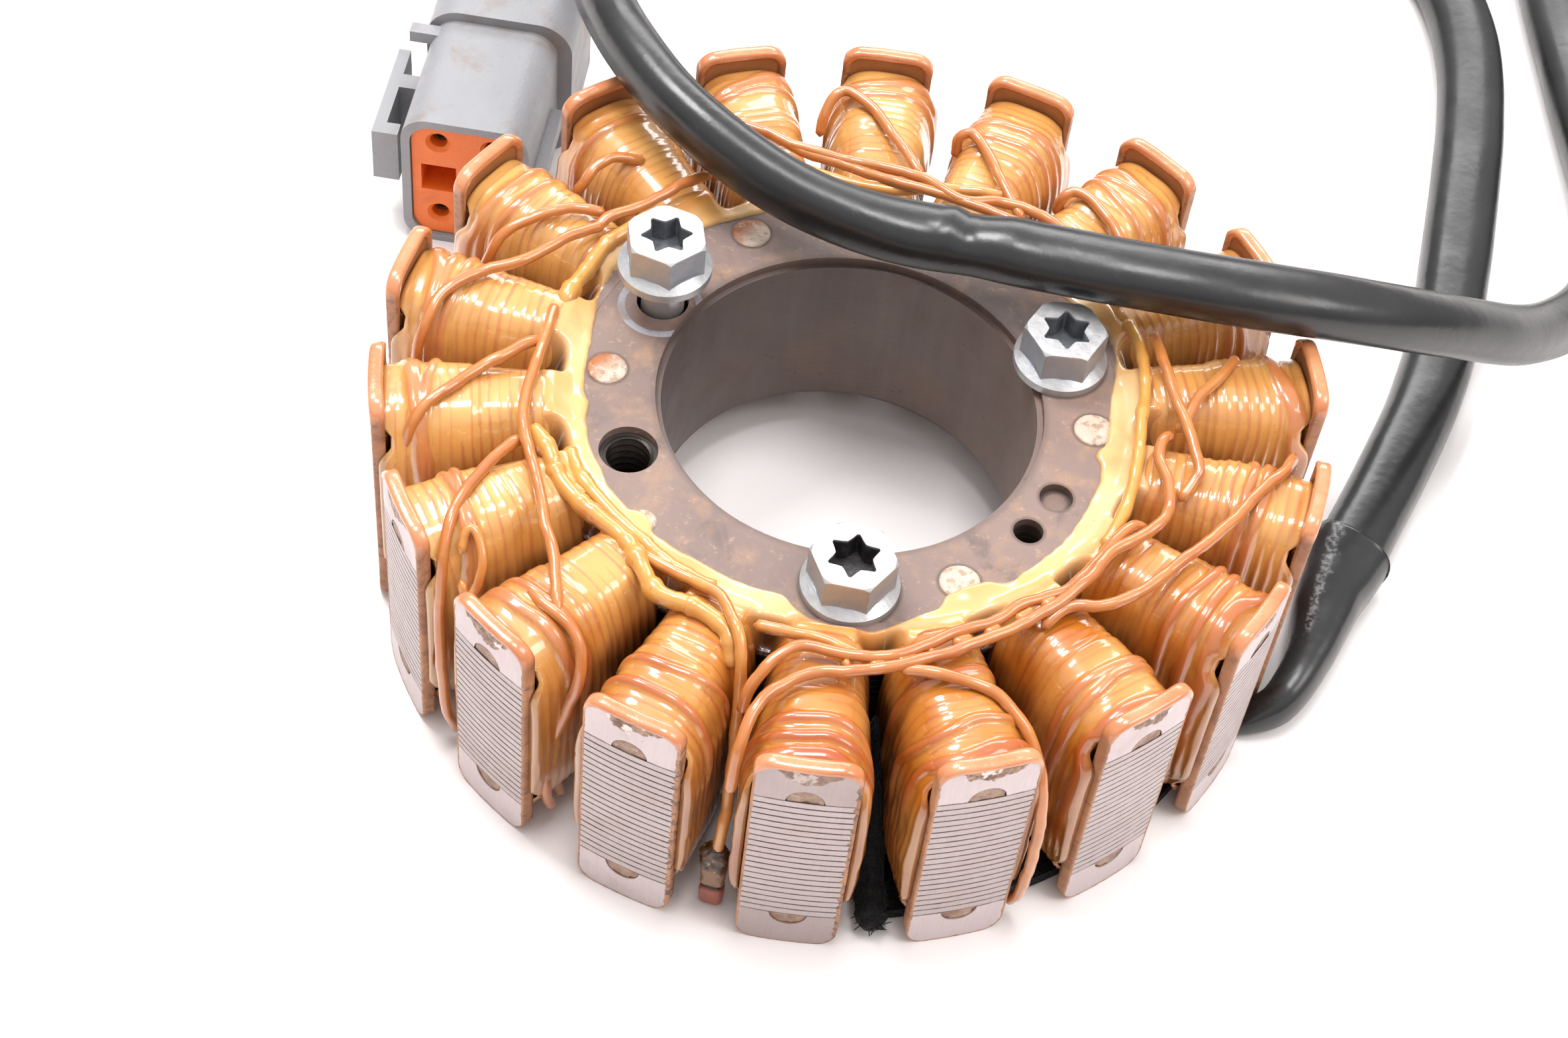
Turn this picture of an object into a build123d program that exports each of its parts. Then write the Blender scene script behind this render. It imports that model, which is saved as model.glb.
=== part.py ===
"""Wound stator: eighteen-pole laminated core with folded end plates, varnished
coils, three resting flange bolts and a sheathed lead with a sealed connector.

Millimetres, +Z up. The origin is on the surface it stands on, below the axis
of the central bore. Pole 1 points to -Y and the poles count anticlockwise.
"""
from build123d import *
import os
from math import cos, sin, tan, pi, radians, degrees, hypot, atan2

os.makedirs("parts", exist_ok=True)

# ---------------------------------------------------------------- dimensions
N_POLES = 18
R_OUT = 64.0            # ground pole faces
R_BORE = 25.5           # laminations
R_PLATE_BORE = 26.3     # end plates are bored a little larger
R_RING = 37.5           # bottom of the slots
LAM_T = 1.25            # one lamination
N_LAM = 21
PLATE_T = 1.2
STACK = LAM_T * N_LAM   # 26.25
Z_MID = 20.0            # mid height of the core; it stands on its folded tips
TIP_Z = 20.0            # folded tips reach this far above and below mid height
NECK_W = 7.0
FACE_W = 13.0
SHOE_R0, SHOE_R1 = 61.25, 62.2   # back of the pole shoe, at the neck and at its edge
TIP_T = 1.4             # thickness of a folded tip, coating included
TIP_CORNER = 2.6
NOTCH_R = 2.45          # relief notch at the root of each folded tip

Z_LAM0 = Z_MID - STACK / 2
Z_LAM1 = Z_MID + STACK / 2
Z_HUB0 = Z_LAM0 - PLATE_T
Z_HUB1 = Z_LAM1 + PLATE_T

# holes in the hub: (radius of position, angle)
BOLTS = [(31.7, -85.5), (30.2, 22.5), (30.45, 153.4)]
BOLT_CLEAR_R = 3.6
TAPPED = (31.4, -154.3)
TAPPED_R = 3.4          # M8 core hole
TAPPED_PLATE_R = 3.95
DOWEL_HOLE = (31.2, -37.0)
DOWEL_R = 2.0
BLIND_HOLE = (31.0, -23.8)
BLIND_R = 2.25
# core rivets: radius of position, angle, radius
RIVETS = [(33.0, 0, 2.7), (33.0, 60, 2.7), (33.0, 120, 2.7), (33.0, 180, 2.7),
          (35.5, 225.4, 1.9), (33.0, 300, 2.7)]

# coils
COIL_R0, COIL_R1 = 39.8, 61.2
COIL_HALF0, COIL_HALF1 = 6.3, 7.7
COIL_Z0, COIL_Z1 = 2.5, 37.5
COIL_EDGE = 3.3

# flange bolts, M6 x 30
BOLT_D = 6.0
BOLT_L = 30.0
FLANGE_D = 12.9
HEX_AF = 10.0
HEAD_H = 6.6
RAISED = 6.4            # the third bolt stands this far out of its hole

# lead
CABLE_D = 9.4
WIRE_D = 2.6


def at(r, a, z=0.0):
    return (r * cos(radians(a)), r * sin(radians(a)), z)


def pole_angle(k):
    return -90.0 + 360.0 / N_POLES * k


# ---------------------------------------------------------------- core sheets
def sheet_outline(bore_r):
    """Outline shared by the laminations and the end plates."""
    pole_pts = [
        (R_RING - 2.0, -NECK_W / 2),
        (SHOE_R0, -NECK_W / 2),
        (SHOE_R1, -FACE_W / 2),
        (R_OUT + 1.0, -FACE_W / 2),
        (R_OUT + 1.0, FACE_W / 2),
        (SHOE_R1, FACE_W / 2),
        (SHOE_R0, NECK_W / 2),
        (R_RING - 2.0, NECK_W / 2),
    ]
    pole = make_face(Polyline(*pole_pts, close=True))
    poles = [Rot(0, 0, pole_angle(k)) * pole for k in range(N_POLES)]
    star = Circle(R_RING) + poles
    star = star & Circle(R_OUT)
    return star - Circle(bore_r)


def lamination_stack():
    body = Pos(0, 0, Z_LAM0) * extrude(sheet_outline(R_BORE), STACK)
    cuts = []
    for r, a in BOLTS:
        cuts.append(Pos(*at(r, a, Z_MID)) * Cylinder(BOLT_CLEAR_R, STACK + 4))
    cuts.append(Pos(*at(*TAPPED, Z_MID)) * Cylinder(TAPPED_R, STACK + 4))
    cuts.append(Pos(*at(*DOWEL_HOLE, Z_MID)) * Cylinder(DOWEL_R, STACK + 4))
    cuts.append(Pos(*at(*BLIND_HOLE, Z_LAM1)) * Cylinder(BLIND_R, 2.4))
    for r, a, rad in RIVETS:
        cuts.append(Pos(*at(r, a, Z_MID)) * Cylinder(rad, STACK + 4))
    return body - cuts


def folded_tip():
    """One tip turned up from the plate: a curved pad with rounded corners,
    with a small inside bend and the relief notch at its root. Along +X."""
    h = TIP_Z - STACK / 2
    pad = Pos(R_OUT - TIP_T / 2, 0, Z_LAM1 + h / 2) * Box(TIP_T + 2.0, FACE_W, h)
    pad = pad & (Cylinder(R_OUT, 200) - Cylinder(R_OUT - TIP_T, 200))
    top = [e for e in pad.edges().filter_by(Axis.X, tolerance=0.5)
           if e.center().Z > Z_LAM1 + h - 0.01]
    pad = fillet(top, TIP_CORNER)
    bend = make_face(Polyline((R_OUT - TIP_T + 0.05, Z_HUB1 - 0.05),
                              (R_OUT - TIP_T - 0.9, Z_HUB1 - 0.05),
                              (R_OUT - TIP_T - 0.9, Z_HUB1),
                              (R_OUT - TIP_T - 0.28, Z_HUB1 + 0.28),
                              (R_OUT - TIP_T, Z_HUB1 + 0.9),
                              (R_OUT - TIP_T + 0.05, Z_HUB1 + 0.9), close=True))
    bend = Rot(90, 0, 0) * bend
    bend = extrude(bend, FACE_W / 2 - 0.6, both=True)
    notch = Pos(R_OUT, 0, Z_LAM1) * Rot(0, 90, 0) * Cylinder(NOTCH_R, 1.0)
    return pad, bend, notch


def end_plate():
    """Top plate, one sheet, as solids that meet face to face: the tip nearest the
    tapped hole, four corners round that hole, and the rest. The bottom plate is
    the same piece turned over."""
    body = Pos(0, 0, Z_LAM1) * extrude(sheet_outline(R_PLATE_BORE), PLATE_T)
    pad, bend, notch = folded_tip()
    adds, cuts = [], []
    for k in range(N_POLES):
        turn = Rot(0, 0, pole_angle(k))
        adds += [turn * pad, turn * bend]
        cuts.append(turn * notch)
    body = body + adds
    for r, a in BOLTS:
        cuts.append(Pos(*at(r, a, Z_LAM1)) * Cylinder(BOLT_CLEAR_R, 8))
    cuts.append(Pos(*at(*TAPPED, Z_LAM1)) * Cylinder(TAPPED_PLATE_R, 8))
    cuts.append(Pos(*at(*DOWEL_HOLE, Z_LAM1)) * Cylinder(DOWEL_R, 8))
    cuts.append(Pos(*at(*BLIND_HOLE, Z_LAM1)) * Cylinder(BLIND_R, 8))
    for r, a, rad in RIVETS:
        cuts.append(Pos(*at(r, a, Z_LAM1)) * Cylinder(rad, 8))
    body = body - cuts

    def block(angle, r0, r1, t0, t1):
        return Rot(0, 0, angle) * (Pos((r0 + r1) / 2, (t0 + t1) / 2, Z_LAM1) * Box(r1 - r0, t1 - t0, 60))
    near = block(-150, 37.9, 70, -8, 8)
    seat = block(TAPPED[1], 20, 41, -4.9, 6.7)
    tip = (body & near).solids()
    rest = body - near
    quarters = []
    for r0, r1 in ((20, TAPPED[0]), (TAPPED[0], 41)):
        for t0, t1 in ((-4.9, 0), (0, 6.7)):
            quarters += (rest & block(TAPPED[1], r0, r1, t0, t1)).solids()
    return (rest - seat).solids() + tip + quarters


def rivets():
    """Six core rivets, set flush with a slight dome."""
    out = []
    for r, a, rad in RIVETS:
        body = Cylinder(rad, STACK + 2 * PLATE_T)
        dome = Pos(0, 0, (STACK + 2 * PLATE_T) / 2) * Cone(rad, rad - 0.7, 0.35,
               align=(Align.CENTER, Align.CENTER, Align.MIN))
        out.append(Pos(*at(r, a, Z_MID)) * (body + dome))
    return out


# ---------------------------------------------------------------- coils
def coil():
    """One coil round a pole neck along +X: outer form and neck opening."""
    plan = make_face(Polyline((COIL_R0, -COIL_HALF0), (COIL_R1, -COIL_HALF1),
                              (COIL_R1, COIL_HALF1), (COIL_R0, COIL_HALF0), close=True))
    body = Pos(0, 0, COIL_Z0) * extrude(plan, COIL_Z1 - COIL_Z0)
    long_edges = [e for e in body.edges()
                  if e.length > 15 and abs(e.center().X - (COIL_R0 + COIL_R1) / 2) < 1
                  and abs((e @ 0).Z - (e @ 1).Z) < 0.01]
    body = fillet(long_edges, COIL_EDGE)
    neck = Pos((COIL_R0 + COIL_R1) / 2, 0, Z_MID) * Box(40, NECK_W + 0.2, STACK + 2 * PLATE_T + 0.2)
    return body - neck


# ---------------------------------------------------------------- crossovers
def ring_wire(r, a0, a1, z, d=1.5):
    """A wire laid round the coils' inner ends from angle a0 to a1."""
    mid = (a0 + a1) / 2
    path = ThreePointArc(at(r, a0, z), at(r, mid, z), at(r, a1, z))
    plane = Plane(origin=path @ 0, z_dir=path % 0)
    return sweep(plane * Circle(d / 2), path=path)


# ---------------------------------------------------------------- bolts
def flange_bolt(turn):
    """Hex flange bolt with a six-lobed recess; z = 0 under the flange."""
    flange = Cylinder(FLANGE_D / 2, 1.2, align=(Align.CENTER, Align.CENTER, Align.MIN))
    cone = Pos(0, 0, 1.2) * Cone(FLANGE_D / 2, HEX_AF / 2 + 0.1, 0.9,
                                 align=(Align.CENTER, Align.CENTER, Align.MIN))
    hexagon = extrude(RegularPolygon(HEX_AF / 2, 6, major_radius=False), HEAD_H)
    crown = Pos(0, 0, HEAD_H - 8) * Cone(HEX_AF / 2 + 0.35 + 8, HEX_AF / 2 + 0.35, 8,
                                         align=(Align.CENTER, Align.CENTER, Align.MIN))
    hexagon = hexagon & crown
    lobes = []
    for i in range(6):
        lobes += [at(3.5, 60 * i + 27)[:2], at(3.5, 60 * i + 33)[:2],
                  at(2.7, 60 * i + 47)[:2], at(2.4, 60 * i + 60)[:2], at(2.7, 60 * i + 73)[:2]]
    recess = Pos(0, 0, HEAD_H - 3.6) * extrude(make_face(Polyline(*lobes, close=True)), 4.2)
    shank = Cylinder(BOLT_D / 2, BOLT_L, align=(Align.CENTER, Align.CENTER, Align.MAX))
    tip = Pos(0, 0, -BOLT_L) * Cone(BOLT_D / 2 - 0.8, BOLT_D / 2 + 4, 4.8,
                                    align=(Align.CENTER, Align.CENTER, Align.MIN))
    shank = shank & (Pos(0, 0, -BOLT_L + 4.8) * Cylinder(20, 60, align=(Align.CENTER, Align.CENTER, Align.MIN)) + tip)
    return Rot(0, 0, turn) * (flange + cone + hexagon + shank - recess)


def winding_splice():
    """Burnt joint of a phase wire and the winding, upright between poles 1 and 18."""
    body = extrude(Rectangle(2.6, 3.4), 12.0)
    body = fillet(body.edges().filter_by(Axis.Z), 0.8)
    slot = Pos(1.5, 0, 4.6) * Box(1.4, 2.2, 0.9)
    return Pos(*at(60.0, -99.7, 0.6)) * (Rot(0, 0, -99.7) * (body - slot))


# ---------------------------------------------------------------- lead sleeve
SLEEVE_Z = 1.15         # mid height of the flat sleeve under the coils
SLEEVE_T = 2.0


def lead_sleeve():
    """Flat woven sleeve under the coil heads: it follows the ring from between
    poles 1 and 2, then turns out towards the gap between poles 4 and 5."""
    r_out, r_in = 60.2, 51.6
    a0, a1 = -80.6, -33.0
    ring = make_face([
        ThreePointArc(at(r_out, a0), at(r_out, (a0 + a1) / 2), at(r_out, a1)),
        Line(at(r_out, a1), at(r_in, a1)),
        ThreePointArc(at(r_in, a1), at(r_in, (a0 + a1) / 2), at(r_in, a0)),
        Line(at(r_in, a0), at(r_out, a0))])
    end = at(60.2, -20.0)
    u = (cos(radians(2)), sin(radians(2)))
    n = (-u[1], u[0])
    w = 2.2
    tail = make_face(Polyline(at(r_out, a1), (end[0] - n[0] * w, end[1] - n[1] * w),
                              (end[0] + n[0] * w, end[1] + n[1] * w), (50.4, -20.4),
                              at(r_in, a1), close=True))
    flat = ring + tail
    return Pos(0, 0, SLEEVE_Z - SLEEVE_T / 2) * extrude(flat, SLEEVE_T)


# stations of the outer sleeve: x, y, heading, width, height
SLEEVE_STATIONS = [
    (56.85, -20.6, 2.0, 4.2, 2.0),
    (61.3, -20.7, 12.0, 4.4, 5.2),
    (65.9, -18.6, 36.0, 5.6, 8.2),
    (70.1, -12.0, 60.0, 7.4, 9.8),
    (73.4, -3.0, 68.0, 10.0, 10.2),
    (77.6, 14.2, 66.5, 12.6, 10.4),
]
SOCKET_L = 9.5


def outer_sleeve():
    """Flattened tube that leaves between two poles, swells and ends open round
    the cable."""
    sections = []
    for x, y, head, w, h in SLEEVE_STATIONS:
        z_dir = (cos(radians(head)), sin(radians(head)), 0)
        x_dir = (sin(radians(head)), -cos(radians(head)), 0)
        plane = Plane(origin=(x, y, 0.15 + h / 2), x_dir=x_dir, z_dir=z_dir)
        sections.append(plane * RectangleRounded(w, h, min(w, h) / 2 - 0.1))
    body = loft(sections, ruled=True)
    x, y, head, w, h = SLEEVE_STATIONS[-1]
    z_dir = (cos(radians(head)), sin(radians(head)), 0)
    socket = Plane(origin=(x, y, CABLE_Z0), z_dir=z_dir) * Cylinder(
        CABLE_D / 2 + 0.1, 2 * SOCKET_L)
    return body - socket


# ---------------------------------------------------------------- cable route
CABLE_Z0 = 5.35
_sx, _sy, _sh = SLEEVE_STATIONS[-1][:3]
ROUTE = [
    (_sx - SOCKET_L * cos(radians(_sh)), _sy - SOCKET_L * sin(radians(_sh)), CABLE_Z0),
    (_sx + 14.5 * cos(radians(_sh)), _sy + 14.5 * sin(radians(_sh)), CABLE_Z0),
    (91.1, 50.8, 4.9),
    (94.8, 74.7, 4.9),
    (98.3, 98.6, 4.9),
    (99.9, 122.0, 4.9),
    (96.0, 143.8, 4.9),
    (83.4, 162.3, 4.9),
    (64.3, 174.0, 4.9),
    (44.4, 178.2, 4.9),
    (26.7, 188.7, 4.9),
    (14.3, 205.0, 4.9),
    (9.0, 224.7, 4.9),
    (11.5, 245.1, 4.9),
    (21.6, 262.9, 4.9),
    (37.6, 275.6, 4.9),
    (57.3, 281.3, 4.9),
    (77.7, 279.1, 4.9),
    (95.7, 269.4, 4.9),
    (108.7, 253.5, 4.9),
    (114.8, 233.9, 4.9),
    (114.9, 208.0, 4.9),
    (114.6, 186.0, 4.9),
    (113.9, 164.0, 4.9),
    (114.5, 142.5, 4.9),
    (117.7, 107.5, 5.0),
    (119.5, 84.0, 6.4),
    (114.0, 60.0, 11.0),
    (100.4, 41.8, 20.5),
    (84.7, 29.0, 34.3),
    (65.1, 19.6, 44.9),
    (41.3, 17.0, 48.1),
    (17.8, 22.6, 44.9),
    (-6.7, 25.0, 44.5),
    (-27.6, 37.4, 47.3),
    (-41.4, 57.5, 46.7),
    (-47.0, 80.1, 39.3),
    (-43.1, 100.6, 26.6),
    (-34.3, 121.6, 14.6),
    (-20.6, 140.0, 7.4),
    (-4.8, 156.3, 4.9),
    (4.4, 174.3, 4.9),
    (6.3, 195.4, 4.9),
    (-0.2, 215.5, 4.9),
    (-14.0, 231.5, 4.9),
    (-33.0, 240.8, 4.9),
    (-54.1, 241.9, 4.9),
    (-73.7, 234.9, 4.9),
    (-88.9, 220.9, 4.9),
    (-97.5, 202.4, 4.9),
    (-98.8, 183.5, 5.0),
    (-93.3, 165.4, 5.3),
    (-81.8, 150.5, 5.9),
    (-61.4, 124.0, 8.8),
]


def corner_radii(points):
    v = [Vector(*p) for p in points]
    radii, turns = [], []
    for i in range(1, len(v) - 1):
        a, b = v[i] - v[i - 1], v[i + 1] - v[i]
        turn = a.get_angle(b)
        run = min(a.length, b.length)
        radii.append(0.45 * run / tan(radians(turn) / 2))
        turns.append(turn)
    return radii, turns


def cable():
    radii, turns = corner_radii(ROUTE)
    path = FilletPolyline(*ROUTE, radius=radii)
    plane = Plane(origin=path @ 0, z_dir=path % 0)
    tube = sweep(plane * Circle(CABLE_D / 2), path=path)
    print("cable turns", [round(t, 1) for t in turns])
    print("cable radii", [round(r, 1) for r in radii])
    print("cable length", round(path.length, 1), "volume", round(tube.volume, 1),
          "section x length", round(pi * CABLE_D**2 / 4 * path.length, 1))
    return tube, path


# ---------------------------------------------------------------- connector
# Local frame: x across, y backwards from the front face, z up from the floor.
CON = Pos(-61.6, 52.0, 0) * Rot(0, 0, -2.3)
SHELL_W, SHELL_H, SHELL_L = 19.6, 25.0, 23.0
REAR_W, REAR_H, REAR_L = 23.0, 26.6, 17.0
REAR_X = 0.6
WEDGE_W, WEDGE_H, WEDGE_L = 16.6, 22.0, 9.0
CAV = [(-4.2, 20.4), (4.2, 20.4), (-4.2, 5.6), (4.2, 5.6)]
CAV_R = 2.2


def block(w, h, length, y0, x0=0.0, z0=0.0, corner=3.0):
    """Rounded block with its section in XZ, running back along +Y from y0."""
    sk = Plane(origin=(x0, y0, z0 + h / 2), x_dir=(1, 0, 0), z_dir=(0, 1, 0)) * RectangleRounded(w, h, corner)
    return extrude(sk, length)


def along_y(x, z, r, y0, length):
    return Pos(x, y0 + length / 2, z) * Rot(90, 0, 0) * Cylinder(r, length)


def connector_parts():
    zc = (SHELL_H - WEDGE_H) / 2
    shell = block(SHELL_W, SHELL_H, SHELL_L, 0, corner=4.2)
    rear = block(REAR_W, REAR_H, REAR_L, SHELL_L, x0=REAR_X, corner=5.5)
    arm = Pos(-14.4, 13.5, 12.6) * Box(1.9, 19.0, 9.6)
    web = Pos(-11.6, 16.0, 12.6) * Box(4.4, 3.0, 9.6)
    nose = Pos(-12.4, 5.2, 12.6) * Box(2.2, 2.4, 9.6)
    stop = Pos(-10.6, 21.2, 23.0) * Box(4.6, 2.2, 2.0)
    rib = Pos(10.6, 11.0, 12.5) * Box(1.9, 15.0, 3.0)
    housing = shell + [rear, arm, web, nose, stop, rib]
    cuts = [block(WEDGE_W + 0.3, WEDGE_H + 0.3, 10.0, -0.01, z0=zc - 0.15, corner=3.4)]
    for x, z in CAV:
        cuts.append(along_y(x, z, CAV_R, 9.0, 26.0))
    cuts.append(block(18.4, 22.0, 9.0, SHELL_L + REAR_L - 8.0, x0=0, z0=2.0, corner=4.0))
    housing = housing - cuts

    wedge = block(WEDGE_W, WEDGE_H, WEDGE_L, 0.6, z0=zc, corner=3.2)
    wcuts = []
    for x, z in CAV:
        wcuts.append(along_y(x, z, 1.35, 0, 12))
        wcuts.append(Pos(x, 0.6, z) * Rot(-90, 0, 0) * Cone(1.95, 1.35, 0.6,
                     align=(Align.CENTER, Align.CENTER, Align.MIN)))
    for x in (-4.2, 4.2):
        wcuts.append(Pos(x, 3.0, 13.0) * Box(5.4, 6.0, 5.2))
    wedge = wedge - wcuts

    contacts = []
    for x, z in CAV[:3]:
        pin = along_y(x, z, 1.25, 2.6, 25.4) - along_y(x, z, 0.75, 2.0, 7.0)
        contacts.append(pin)

    seal_y = SHELL_L + REAR_L - 8.0
    seal = block(18.2, 21.8, 9.6, seal_y, x0=0, z0=2.1, corner=3.9)
    scuts = [along_y(x, z, 1.3, seal_y - 1, 12) for x, z in CAV]
    scuts += [block(30, 40, 1.0, seal_y + dy, x0=0, z0=-8, corner=3.0)
              - block(17.0, 20.6, 3.0, seal_y + dy - 1, x0=0, z0=2.7, corner=3.3) for dy in (2.2, 5.0)]
    seal = seal - scuts

    plug = along_y(*CAV[3], 1.28, 15.0, seal_y - 15.0 + 10.8) + along_y(*CAV[3], 2.1, seal_y + 9.6, 1.6)
    return (CON * housing, CON * wedge, [CON * c for c in contacts], CON * seal, CON * plug)


def lead_wires(path):
    """Three insulated wires from the contacts to the end of the sheath."""
    end = path @ 1
    back = path % 1            # direction of travel at the cable's end
    side = Vector(0, 0, 1).cross(back).normalized()
    up = back.cross(side).normalized()
    if up.Z < 0:
        up = up * -1
    y0 = SHELL_L + REAR_L - 8.0 - 4.0
    targets = [side * 0.0 + up * 1.62, side * -1.42 + up * -0.82, side * 1.42 + up * -0.82]
    order = [0, 1, 2]
    starts = [(CAV[0][0], y0, CAV[0][1]), (CAV[1][0], y0, CAV[1][1]), (CAV[2][0], y0, CAV[2][1])]
    cands = [targets[0], targets[1], targets[2]]
    wires = []
    rear = SHELL_L + REAR_L + 2.0
    for (x, y, z), t in zip(starts, cands):
        p0 = CON * Pos(x, y, z)
        p1 = CON * Pos(x, rear + 5.0, z)
        tip = end + t
        pre = tip + back * 5.5
        pts = [p0.position, p1.position, pre, tip]
        turns = [(pts[i] - pts[i - 1]).get_angle(pts[i + 1] - pts[i]) for i in (1, 2)]
        radii = [4.5 / tan(radians(t) / 2) for t in turns]
        line = FilletPolyline(*pts, radius=radii)
        plane = Plane(origin=line @ 0, z_dir=line % 0)
        wires.append(sweep(plane * Circle(WIRE_D / 2 - 0.02), path=line))
    return wires


# ---------------------------------------------------------------- write
def write(name, shape):
    if isinstance(shape, list):
        shape = Compound(children=[s if isinstance(s, Solid) else s.solids()[0] for s in shape])
    export_step(shape, "parts/" + name + ".step")


def main():
    write("lamination_stack", lamination_stack())
    top = end_plate()
    write("end_plate_top", top)
    write("end_plate_bottom", [mirror(s, about=Plane(origin=(0, 0, Z_MID), z_dir=(0, 0, 1))) for s in top])
    write("core_rivets", rivets())

    one = coil()
    for k in range(N_POLES):
        write("coil_%02d" % (k + 1), Rot(0, 0, pole_angle(k)) * one)

    z_ring = COIL_Z1 + 0.85
    write("phase_a_crossover", ring_wire(41.6, -160, -24, z_ring))
    write("phase_b_crossover", ring_wire(43.4, -60, 84, z_ring))
    write("phase_c_crossover", ring_wire(45.2, 62, 204, z_ring))

    seats = [(Z_HUB1, -5), (Z_HUB1, 2), (Z_HUB1 + RAISED, -17.5)]
    for i, ((r, a), (z, turn)) in enumerate(zip(BOLTS, seats)):
        write("flange_bolt_%d" % (i + 1), Pos(*at(r, a, z)) * flange_bolt(turn))

    write("winding_splice", winding_splice())
    write("lead_sleeve", lead_sleeve())
    write("outer_sleeve", outer_sleeve())
    tube, path = cable()
    write("cable_sheath", tube)
    housing, wedge, contacts, seal, plug = connector_parts()
    write("connector_housing", housing)
    write("wedge_lock", wedge)
    write("contact_sockets", contacts)
    write("rear_seal", seal)
    write("sealing_plug", plug)
    write("lead_wires", lead_wires(path))


main()
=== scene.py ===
"""Looks of the wound stator: eighteen varnished coils on a laminated core, loose
crossover wires, varnish on the hub, three flange bolts, and the black sheathed
lead with its grey and orange connector. Lengths in the tables are millimetres.
"""
import math
import bpy
import bmesh
import numpy as np
from mathutils import Matrix, Vector
from mathutils.geometry import tessellate_polygon


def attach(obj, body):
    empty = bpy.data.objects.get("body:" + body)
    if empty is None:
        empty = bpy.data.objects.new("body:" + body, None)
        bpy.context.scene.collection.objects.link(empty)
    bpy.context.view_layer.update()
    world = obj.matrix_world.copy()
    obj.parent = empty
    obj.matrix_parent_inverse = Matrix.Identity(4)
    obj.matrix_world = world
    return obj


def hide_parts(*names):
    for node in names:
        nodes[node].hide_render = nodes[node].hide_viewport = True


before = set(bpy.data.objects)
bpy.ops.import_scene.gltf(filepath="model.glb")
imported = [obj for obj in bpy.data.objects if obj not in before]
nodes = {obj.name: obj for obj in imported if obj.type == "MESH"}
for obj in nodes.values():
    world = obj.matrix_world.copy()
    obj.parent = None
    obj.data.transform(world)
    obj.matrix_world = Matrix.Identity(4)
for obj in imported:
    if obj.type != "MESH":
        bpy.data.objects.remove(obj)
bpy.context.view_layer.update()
scene = bpy.context.scene
MM = 0.001
TAU = 2 * math.pi


# ================================================================= camera
CAM_AT = (-6.84819, -241.47660, 308.86509)
CAM_RIGHT = (0.99197941, 0.0987138, 0.07894576)
CAM_UP = (-0.12639956, 0.77470255, 0.61956365)
CAM_AHEAD = (0.0, 0.62457309, -0.78096636)
cam_data = bpy.data.cameras.new("photo_camera")
cam = bpy.data.objects.new("photo_camera", cam_data)
scene.collection.objects.link(cam)
cam.matrix_world = Matrix([
    [CAM_RIGHT[i], CAM_UP[i], -CAM_AHEAD[i], CAM_AT[i] * MM] for i in range(3)] + [[0, 0, 0, 1]])
cam_data.lens = 62.31
cam_data.sensor_width = 36.0
cam_data.sensor_fit = "HORIZONTAL"
cam_data.clip_start = 0.01
cam_data.clip_end = 20.0
scene.camera = cam


# ================================================================= helpers
def noise1(x, seed, scale, octaves=3):
    """Smooth seeded noise along a line, about -1 to 1."""
    rng = np.random.default_rng(seed)
    out, amp, total = np.zeros_like(np.asarray(x, float)), 1.0, 0.0
    for o in range(octaves):
        for _ in range(3):
            k = TAU / scale * 2 ** o * rng.uniform(0.7, 1.3)
            out = out + amp * np.sin(k * x + rng.uniform(0, TAU)) / 2.0
        total += amp
        amp *= 0.55
    return out / total


def noise2(x, y, seed, scale, octaves=2):
    """Smooth seeded noise over a plane, about -1 to 1."""
    rng = np.random.default_rng(seed)
    out, amp, total = np.zeros_like(np.asarray(x, float) + np.asarray(y, float)), 1.0, 0.0
    for o in range(octaves):
        for _ in range(5):
            a = rng.uniform(0, TAU)
            k = TAU / scale * 2 ** o * rng.uniform(0.7, 1.3)
            out = out + amp * np.sin(k * (x * math.cos(a) + y * math.sin(a)) + rng.uniform(0, TAU)) / 2.4
        total += amp
        amp *= 0.55
    return out / total


def step(x, lo, hi):
    t = np.clip((x - lo) / (hi - lo), 0, 1)
    return t * t * (3 - 2 * t)


def make(name, verts, faces, mat, attrs=None, smooth=True):
    """A mesh piece from points in millimetres, riding on the root body."""
    me = bpy.data.meshes.new(name)
    me.from_pydata([tuple(v) for v in np.asarray(verts, float) * MM], [], [tuple(int(i) for i in f) for f in faces])
    me.update()
    for key, val in (attrs or {}).items():
        a = me.attributes.new(key, "FLOAT", "POINT")
        a.data.foreach_set("value", np.asarray(val, np.float32).ravel())
    bm = bmesh.new()
    bm.from_mesh(me)
    bmesh.ops.recalc_face_normals(bm, faces=bm.faces)
    bm.to_mesh(me)
    bm.free()
    me.polygons.foreach_set("use_smooth", [smooth] * len(me.polygons))
    me.materials.append(mat)
    ob = bpy.data.objects.new(name, me)
    scene.collection.objects.link(ob)
    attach(ob, "root")
    return ob


def grid_faces(n, m, wrap_n=False, wrap_m=False, base=0):
    i = np.arange(n if wrap_n else n - 1)
    j = np.arange(m if wrap_m else m - 1)
    ii, jj = np.meshgrid(i, j, indexing="ij")
    a = ii * m + jj
    b = ((ii + 1) % n) * m + jj
    c = ((ii + 1) % n) * m + (jj + 1) % m
    d = ii * m + (jj + 1) % m
    return (np.stack([a, b, c, d], -1).reshape(-1, 4) + base).tolist()


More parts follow.
